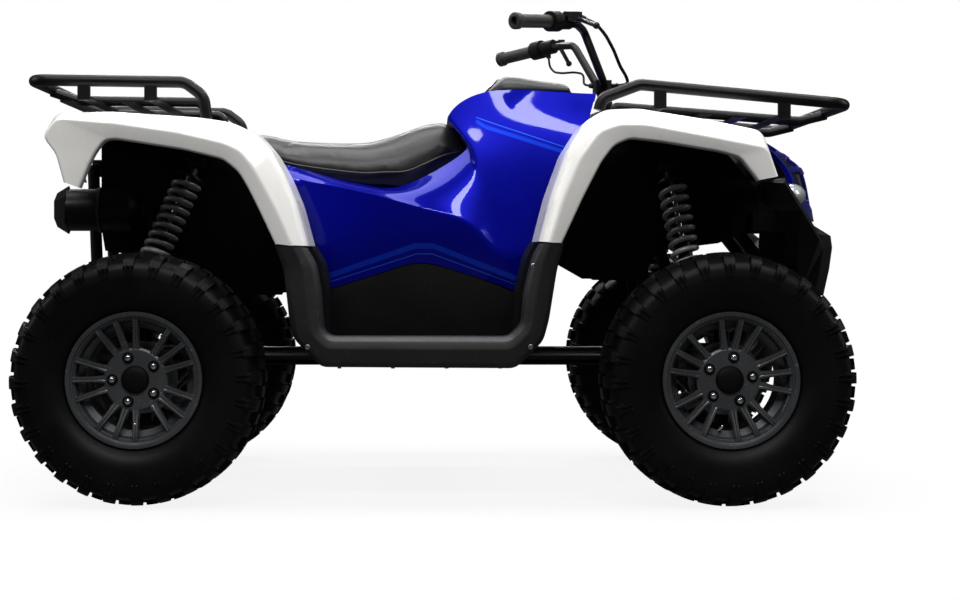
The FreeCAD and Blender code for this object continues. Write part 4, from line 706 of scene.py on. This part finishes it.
# Side covers, tank cover and nose: blue mouldings with clear coat over a little flake. The side covers have
# a crease that runs down and forward, and printed stripes in lighter blue lie above and below it.
def worked(tree, operation, *inputs):
    """The result of one sum over numbers or sockets."""
    return add_node(tree, "Math", *enumerate(inputs), operation=operation).outputs["Value"]


def band(tree, place, line, thick):
    """A mask that is 1 on a stripe seen from the side: where z lies within half of thick of the line of
    (x, z) points, given in millimetres, and x lies between its ends."""
    line = np.array(line, float)
    low_x, high_x = line[0, 0], line[-1, 0]
    low_z, high_z = line[:, 1].min() - 1, line[:, 1].max() + 1
    split = add_node(tree, "SeparateXYZ", ("Vector", place)).outputs
    run = remapped(tree, split["X"], (low_x / 1000, high_x / 1000))
    curve = add_node(tree, "FloatCurve", ("Value", run))
    points = curve.mapping.curves[0].points
    spots = [((x - low_x) / (high_x - low_x), (z - low_z) / (high_z - low_z)) for x, z in line]
    points[0].location, points[1].location = spots[0], spots[-1]
    for spot in spots[1:-1]:
        points.new(*spot)
    for point in points:
        point.handle_type = "VECTOR"
    curve.mapping.update()
    height = remapped(tree, curve.outputs["Value"], after=(low_z / 1000, high_z / 1000))
    near = worked(tree, "COMPARE", worked(tree, "SUBTRACT", split["Z"], height), 0, thick / 2000)
    return worked(tree, "MULTIPLY", near, worked(tree, "COMPARE", run, 0.5, 0.4999))


STRIPE_BLUE = (0.001, 0.025, 0.42)
LINE_BLUE = (0.01, 0.07, 0.55)
STRIPES = (
    ([(95, 990), (120, 974), (335, 903)], 11, STRIPE_BLUE),
    ([(95, 1001), (140, 984), (335, 917)], 2.5, LINE_BLUE),
    ([(-318, 566), (-71, 652), (-22, 652), (222, 556)], 15, STRIPE_BLUE),
    ([(-319, 549), (-66, 631), (-25, 631), (224, 540)], 2.5, LINE_BLUE),
)


def stripes_and_painted_shade(tree, place, colour):
    """The stripes over the colour, and black where the mesh's shade_mark is set: painted shade in the nose
    grille's recesses and under the nose.
    """
    for line, thick, tone in STRIPES:
        colour = mix_colours(tree, band(tree, place, line, thick), colour, tone)
    shade_mark = add_node(tree, "Attribute", attribute_name="shade_mark").outputs["Fac"]
    return mix_colours(tree, shade_mark, colour, (0.004, 0.004, 0.0045))


blue_paint = coated("deep_blue", (0.0, 0.001, 0.22), (0.0, 0.002, 0.28), (0.26, 0.34), grain=(1400, 0.03),
                    patch=2, extra=stripes_and_painted_shade, metal=0.35, shine=0.05, coat=0.4)
SIDE_COLUMNS = [
    [(-293, 238, 532), (-300, 249, 640), (-398, 246, 838), (-412, 233, 860), (-425, 212, 880)],
    [(-175, 238, 568), (-178, 252, 680), (-190, 251, 796), (-198, 224, 812), (-205, 190, 822)],
    [(-35, 238, 607), (-35, 252, 680), (-40, 257, 757), (-55, 226, 797), (-70, 180, 818)],
    [(85, 238, 580), (88, 250, 645), (92, 259, 710), (98, 217, 835), (104, 168, 926)],
    [(175, 240, 550), (178, 250, 585), (183, 257, 625), (140, 210, 880), (44, 160, 1003)],
    [(240, 242, 526), (250, 250, 570), (262, 252, 640), (262, 210, 890), (158, 158, 1073)],
    [(252, 246, 530), (266, 252, 600), (300, 246, 720), (400, 205, 930), (446, 158, 1066)],
]
# How far each column's upper edge is tucked in under the seat or the tank.
SIDE_TUCKS = [(-5, -26, -12), (-3, -50, -10), (-2, -50, -12), (8, -72, -8), (16, -64, -3), (7, -48, -13),
              (0, -38, -14)]
side_lines = curve_through(SIDE_COLUMNS, 10).swapaxes(0, 1)
below = curve_through(side_lines[:3], 8)
above = curve_through(side_lines[2:], 10)
tucked = above[-1] + curve_through(SIDE_TUCKS, 10)
side_skin = np.concatenate([below, above[1:], tucked[None]]).swapaxes(0, 1) + (mid_x, 0, 0)
for side, way in SIDES:
    cover = [grid * (1, -way, 1) for grid in shell(side_skin, SHEET)]
    new_piece("cover_" + side, cover, blue_paint, [side + "_side_cover"], crease=40)
TANK_HALF = 151.4
TANK_LINE = [(-1, -2), (-0.86, 2), (-0.62, 4.5), (0, 6), (0.62, 4.5), (0.86, 2), (1, -2)]
# The tank's line runs from behind the seat's nose, up and back round its edge, and forward to the bar.
TANK_SPOTS = [(132, 882), (108, 942), (74, 982), (44, 1004), (80, 1030), (120, 1055), (158, 1072),
              (220, 1076), (290, 1074.5), (446, 1066)]
tank_grid = np.array([[(mid_x + x, share * TANK_HALF, z + rise) for share, rise in TANK_LINE]
                      for x, z in TANK_SPOTS])
tank_skin = curve_through(curve_through(tank_grid, 8).swapaxes(0, 1), 8).swapaxes(0, 1)
new_piece("tank_skin", shell(tank_skin, -SHEET), blue_paint, ["tank_cover"])

NOSE_LINES = [
    (268, [(86, 944), (122, 936), (180, 884), (214, 834), (240, 742)]),
    (134, [(86, 948.8), (152, 946), (232, 896), (276, 848), (300, 724)]),
    (0, [(86, 950), (176, 952), (262, 902), (306, 852), (332, 722)]),
]
nose_columns = NOSE_LINES + [(-y, line) for y, line in NOSE_LINES[1::-1]]
nose_grid = np.array([[(front_x + x, y, z) for x, z in line] for y, line in nose_columns])
nose_skin = curve_through(curve_through(nose_grid, 32).swapaxes(0, 1), 24)


def cells(skin):
    """Depth from 0 to 1 of the grille's recesses. With s down the nose and t out from its middle, each
    recess spans a range of both, and its walls are smooth steps."""
    rows, columns = skin.shape[:2]
    s = np.linspace(0, 1, rows)[:, None]
    t = np.abs(np.linspace(-1, 1, columns))[None]

    def span(value, low, high, soft):
        step = np.clip((np.minimum(value - low, high - value)) / soft, 0, 1)
        return step * step * (3 - 2 * step)

    depth = np.zeros((rows, columns))
    for s_low, s_high in ((0.3, 0.47), (0.52, 0.7), (0.75, 0.95)):
        for t_low, t_high in ((0.05, 0.47), (0.53, 0.93)):
            depth = np.maximum(depth, span(s + 0.06 * t, s_low, s_high, 0.02) * span(t, t_low, t_high, 0.03))
    return depth


depth = cells(nose_skin)
normal = skin_normal(nose_skin)
normal *= np.sign(normal[len(normal) // 2, len(normal[0]) // 2, 0])
CELL_DEPTH = 9
NOSE_SHEET = 13
recessed = nose_skin - normal * depth[:, :, None] * CELL_DEPTH
under = nose_skin - normal * NOSE_SHEET
# The grille cells turn black as they deepen, and the whole underside is black: painted shade.
new_piece("nose_skin", sheet(recessed, under), blue_paint, ["nose_cowl"],
          marks=[np.clip(depth * 3 - 1, 0, 1), np.ones(under.shape[:2])])
nose_pan = slab((front_x + 120, -228, 692), (front_x + 226, 228, 744))
new_piece("nose_pan", [nose_pan], black_plastic)


# Instrument hump: a grey moulding that stands on the tank, with a small round dark screen on its back that
# faces the rider.
grey_plastic = coated("grey_plastic", (0.009, 0.009, 0.0098), (0.014, 0.014, 0.015), (0.4, 0.52),
                      grain=(800, 0.15), scuff=(0.04, 0.04, 0.04))
HUMP_FOOT = 1078.3
HUMP_LINE = [(150, 1, 40), (190, 40, 78), (222, 47, 86), (300, 36, 84), (372, 25, 74), (388, 4, 60)]
HUMP_RING = [(-1, 0), (-0.94, 0.6), (-0.6, 1), (0.6, 1), (0.94, 0.6), (1, 0)]
hump_rings = [[(mid_x + x, share * half, HUMP_FOOT + lift * rise) for share, lift in HUMP_RING]
              for x, rise, half in HUMP_LINE]
hump = curve_through(rounded(hump_rings, 16, 5, closed=True), 6)
new_piece("hump", [capped(hump)], grey_plastic, ["instrument_hump"], crease=50)
screen_way = np.array([-0.72, 0, 0.69])
screen_spot = np.array([mid_x + 170, 0, 1100])
SCREEN_LINE = [(0, 0), (0, 30), (2.4, 29.5), (3, 28), (2.4, 26.5), (2.2, 0)]
screen = turned(SCREEN_LINE, screen_spot + screen_way * 2, screen_way, 40)
dark_glass = coated("dark_glass", (0.003, 0.003, 0.004), (0.006, 0.006, 0.008), (0.05, 0.09), coat=1)
new_piece("screen", [screen], dark_glass)


# Footwells: a thick moulded guard with broad bevels round each foot space, a tray with raised treads inside
# it, a thin dark cover below the blue one, and screws that hold them.
def between_axles(rear_points, front_points):
    """One line of (x, z) points, the first ones measured forward from the rear axle and the rest from the
    front one."""
    return [(rear_x + x, z) for x, z in rear_points] + [(front_x + x, z) for x, z in front_points]


GUARD_OUTER = between_axles([(346, 652), (369, 590), (383, 465), (394, 419), (462, 349)],
                            [(-531, 346), (-462, 414), (-448, 465), (-428, 590), (-411, 656)])
GUARD_INNER = between_axles([(426, 645), (451, 602), (461, 539), (469, 442), (486, 426)],
                            [(-548, 425), (-516, 457), (-511, 533), (-491, 619), (-471, 656)])
GUARD_SECTION = [(0, 500), (0, 545), (0.16, 557), (0.58, 568), (0.86, 563), (1, 545), (1, 500), (0.5, 498)]
guard = np.array([[(x * (1 - f) + inner_x * f, y, z * (1 - f) + inner_z * f) for f, y in GUARD_SECTION]
                  for (x, z), (inner_x, inner_z) in zip(GUARD_OUTER, GUARD_INNER)])
guard = rounded(guard, 3.5, 3, closed=True)
guard = capped(rounded(guard.swapaxes(0, 1), 16, 4).swapaxes(0, 1))
TRAY_FLOOR = 400
TREAD_PITCH = 36
TRAY_LINE = between_axles([(426, 645), (451, 602), (461, 539), (462, TRAY_FLOOR)],
                          [(-516, TRAY_FLOOR), (-511, 533), (-491, 619), (-471, 656)])
tray = np.array([[(x, y, z) for y in (262, 501)] for x, z in TRAY_LINE], float)
tray = rounded(tray.swapaxes(0, 1), 12, 4).swapaxes(0, 1)


def tread(x, y, long, wide, high):
    """A tread that stands on the tray's floor and reaches 1 mm into it."""
    return slab((x, y, TRAY_FLOOR - 1), (x + long, y + wide, TRAY_FLOOR + high))


floor_low, floor_high = rear_x + 486, front_x - 548
treads = [tread(x, 290, 9, 180, 4) for x in np.arange(floor_low, floor_high, TREAD_PITCH)]
treads += [tread(x + 17, y, 11, 22, 3) for x in np.arange(floor_low, floor_high - TREAD_PITCH, TREAD_PITCH)
           for y in (305, 369, 433)]
# A strip joins the tray's inner edge to the foot of the cover.
treads.append(slab((rear_x + 462, 225, 388), (front_x - 516, 263, 399.6)))
COVER_TOP = [(rear_x + 470, 538), (mid_x - 175, 572), (mid_x - 35, 610), (mid_x + 85, 584),
             (mid_x + 175, 554), (front_x - 516, 536)]
COVER_FOOT = 389
COVER_RISE = [(0, 231.5), (0.35, 234), (0.8, 235), (1, 231.5)]
cover = np.array([[(x, y, COVER_FOOT + (z - COVER_FOOT) * share) for share, y in COVER_RISE]
                  for x, z in COVER_TOP])
SCREWS = [(rear_x + 430, 590, 559), (front_x - 487, 600, 559), (rear_x + 430, 400, 566),
          (front_x - 495, 400, 566)]
SCREW_LINE = [(-2, 0), (-2, 6.5), (0.6, 6.5), (1.8, 5.4), (2.2, 3.4), (1.2, 3), (1, 0)]
for side, way in SIDES:
    flip = (1, -way, 1)
    new_piece("guard_" + side, [guard * flip], grey_plastic, [side + "_footwell"], crease=20)
    new_piece("tray_" + side, [grid * flip for grid in shell(tray, 10) + treads + shell(cover, -4)],
              black_plastic, crease=30)
    heads = [turned(SCREW_LINE, (x, -way * y, z), (0, -way, 0), 20) for x, z, y in SCREWS]
    heads += [turned(bolt_head(5), (x, -way * 520, 348), (0, 0, -1), 12)
              for x in np.linspace(floor_low + 20, floor_high - 20, 4)]
    new_piece("guard_screws_" + side, heads, zinc)


# Seat: foam under black vinyl, pulled over the base in one long saddle. Its form is swollen by a cloth pass
# and capped, and a welt is sewn along each side.
SEAT_LINE = [
    (-530, 898, 949, 108), (-490, 887, 954, 136), (-450, 876, 952, 152), (-370, 845, 936, 172),
    (-205, 816, 930, 180), (-130, 812, 943, 177), (-70, 808, 963, 168), (-20, 830, 983, 148),
    (24, 855, 995, 128), (52, 872, 986, 116), (78, 888, 962, 106), (94, 902, 943, 96),
]
SEAT_RING = [(-0.9, 0.02), (-1, 0.28), (-0.97, 0.55), (-0.84, 0.82), (-0.62, 0.96), (-0.3, 1.02), (0, 1),
             (0.3, 1.02), (0.62, 0.96), (0.84, 0.82), (0.97, 0.55), (1, 0.28), (0.9, 0.02), (0, 0)]
seat_rings = np.array([[(mid_x + x, share * half, low + lift * (high - low)) for share, lift in SEAT_RING]
                       for x, low, high, half in SEAT_LINE])
seat_form = curve_through(rounded(seat_rings, 14, 3, closed=True), 6)
vinyl = coated("seat_vinyl", (0.0045, 0.0045, 0.0048), (0.009, 0.009, 0.0095), (0.34, 0.44),
               grain=(650, 0.3), patch=5)


def triples(vertices, field):
    """A row of three numbers a vertex, such as its place or its normal."""
    values = np.empty(len(vertices) * 3)
    vertices.foreach_get(field, values)
    return values.reshape(-1, 3)


def swollen(piece, voxel, pressure, cap, steps):
    """The piece's mesh after an even remesh and a cloth pass under inner pressure, with voxel and cap in
    metres. A point that moves by d ends at its start plus d min(1, cap / |d|), and points of the flat
    underside stay where they began."""
    even = piece.modifiers.new("even", "REMESH")
    even.mode = "VOXEL"
    even.voxel_size = voxel
    graph = bpy.context.evaluated_depsgraph_get()
    mesh = bpy.data.meshes.new_from_object(piece.evaluated_get(graph))
    piece.modifiers.clear()
    material = piece.data.materials[0]
    piece.data = mesh
    mesh.materials.clear()
    mesh.materials.append(material)
    start = triples(mesh.vertices, "co")
    free = np.clip(1.6 + 2 * triples(mesh.vertex_normals, "vector")[:, 2], 0, 1)[:, None]
    cloth = piece.modifiers.new("cloth", "CLOTH")
    cloth.settings.use_pressure = True
    cloth.settings.uniform_pressure_force = pressure
    cloth.settings.effector_weights.gravity = 0
    cloth.settings.quality = 5
    for step in range(1, steps + 1):
        bpy.context.scene.frame_set(step)
    graph = bpy.context.evaluated_depsgraph_get()
    drift = triples(piece.evaluated_get(graph).data.vertices, "co") - start
    piece.modifiers.clear()
    bpy.context.scene.frame_set(1)
    size = np.maximum(np.linalg.norm(drift, axis=1, keepdims=True), 1e-9)
    mesh.vertices.foreach_set("co", (start + free * drift * np.minimum(1, cap / size)).ravel())
    mesh.shade_smooth()
    mesh.update()
    finer = piece.modifiers.new("finer", "SUBSURF")
    finer.levels = finer.render_levels = 1


seat = new_piece("saddle", [capped(seat_form)], vinyl, ["seat"])
swollen(seat, voxel=0.006, pressure=4, cap=0.007, steps=20)
welts = []
for way in (-1, 1):
    low_edge = curve_through([(mid_x + x, way * (half + 0.5), low + 0.3 * (high - low))
                              for x, low, high, half in SEAT_LINE[1:-1]], 8)
    welts.append(capped(swept(low_edge, circle(3.2, 10), (0, 0, 1))))
new_piece("seat_welts", welts, vinyl)


# Bumper, lamps and silencer: thick black mouldings, oval lamps like a bright bowl under a clear coat, red
# lamps at the tail, and a black can with a dark metal band and a short tail pipe.
dress(black_plastic, "front_bumper", edge=5)
dress(black_coat, "silencer", edge=2)
dress(black_plastic, "control_pods", edge=2)
dress(black_coat, "hand_levers", edge=1.5)
dress(coated("red_lens", (0.3, 0.004, 0.004), (0.4, 0.008, 0.006), (0.06, 0.1), coat=1),
      "tail_lights", edge=3)
lamp_lens = coated("lamp_lens", (0.66, 0.68, 0.7), (0.78, 0.8, 0.82), (0.1, 0.18), grain=(90, 0.3),
                   metal=0.35, coat=1, coat_rough=0.02)
# The lamp's bowl: at a share s of its depth out from the nose its ring is an oval of half axes 38 and 30,
# times sqrt(1.04 - s²).
LAMP_SPOT = (front_x + 214, 270.5, 786)
share = np.linspace(0, 1, 18)[:, None]
swell = np.sqrt(1.04 - share ** 2)
around = np.linspace(0, 2 * math.pi, 41)
bowl = np.stack(np.broadcast_arrays(38 * swell * np.cos(around) - 16 * share, 68 * share,
                                    30 * swell * np.sin(around)), 2) + LAMP_SPOT
lamps = [capped(bowl), capped(bowl) * (1, -1, 1)]
new_piece("headlamps", lamps, lamp_lens, ["headlights"])
can_spot = np.array([rear_x, -236, 748])
BAND_LINE = [(148, 59), (148, 61), (140, 61), (140, 59)]
PIPE_LINE = [(250, 14), (250, 17), (264, 17), (264, 14.5), (255, 14.5), (252, 0)]
metal_parts = [turned(BAND_LINE, can_spot, (-1, 0, 0), 48), turned(PIPE_LINE, can_spot, (-1, 0, 0), 32)]
new_piece("silencer_bands", metal_parts, cast_metal)


# Controls: ribbed rubber grips with flared ends, a fluid box with a steel lid on the right lever, and a
# small orange key beside it.
BAR = np.array([front_x - 258, 0, 1100])
grip_start = BAR + (-172, -308, 141)
grip_end = BAR + (-262, -398, 129)
grip_length = np.linalg.norm(grip_end - grip_start)
grip_profile = [(0.5, 11.5), (0.5, 17)]
for t in np.arange(8, grip_length - 16, 6):
    grip_profile += [(t, 16.6), (t + 1, 17.7), (t + 3.2, 17.7), (t + 4.2, 16.6)]
FLARE_LINE = [(-8, 17), (-6, 21.5), (8, 22), (10, 20), (10.5, 12), (9.5, 11.6)]
grip_profile += measured(grip_length, FLARE_LINE) + grip_profile[:1]
grip_rubber = coated("grip_rubber", (0.008, 0.008, 0.008), (0.014, 0.014, 0.014), (0.5, 0.65),
                     grain=(500, 0.25))
grips = [turned(grip_profile, grip_start * flip, (grip_end - grip_start) * flip, 36)
         for flip in ((1, -1, 1), (1, 1, 1))]
new_piece("grips", grips, grip_rubber, ["hand_grips"], "steering", crease=50)
lid_spot = BAR + (-112, -265, 168)
lid = [slab(lid_spot - (20, 17, 0), lid_spot + (22, 17, 3))]
lid += [turned([(0, 0), (0, 2.6), (1, 2.6), (1.4, 1.6), (1.4, 0)], lid_spot + (x, y, 3), (0, 0, 1), 12)
        for x, y in ((-15, -12), (17, 12))]
new_piece("fluid_lid", lid, zinc, body="steering")
key_paint = coated("orange_key", (0.6, 0.05, 0.01), (0.7, 0.07, 0.012), (0.3, 0.4))
key = turned([(0, 0), (0, 5), (4, 5), (5.5, 3.5), (6, 0)], BAR + (-90, -262, 152), (1, 0, 0), 16)
new_piece("stop_key", [key], key_paint, body="steering")


# The size of what is shown, and the end of the scene.
low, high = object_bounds()
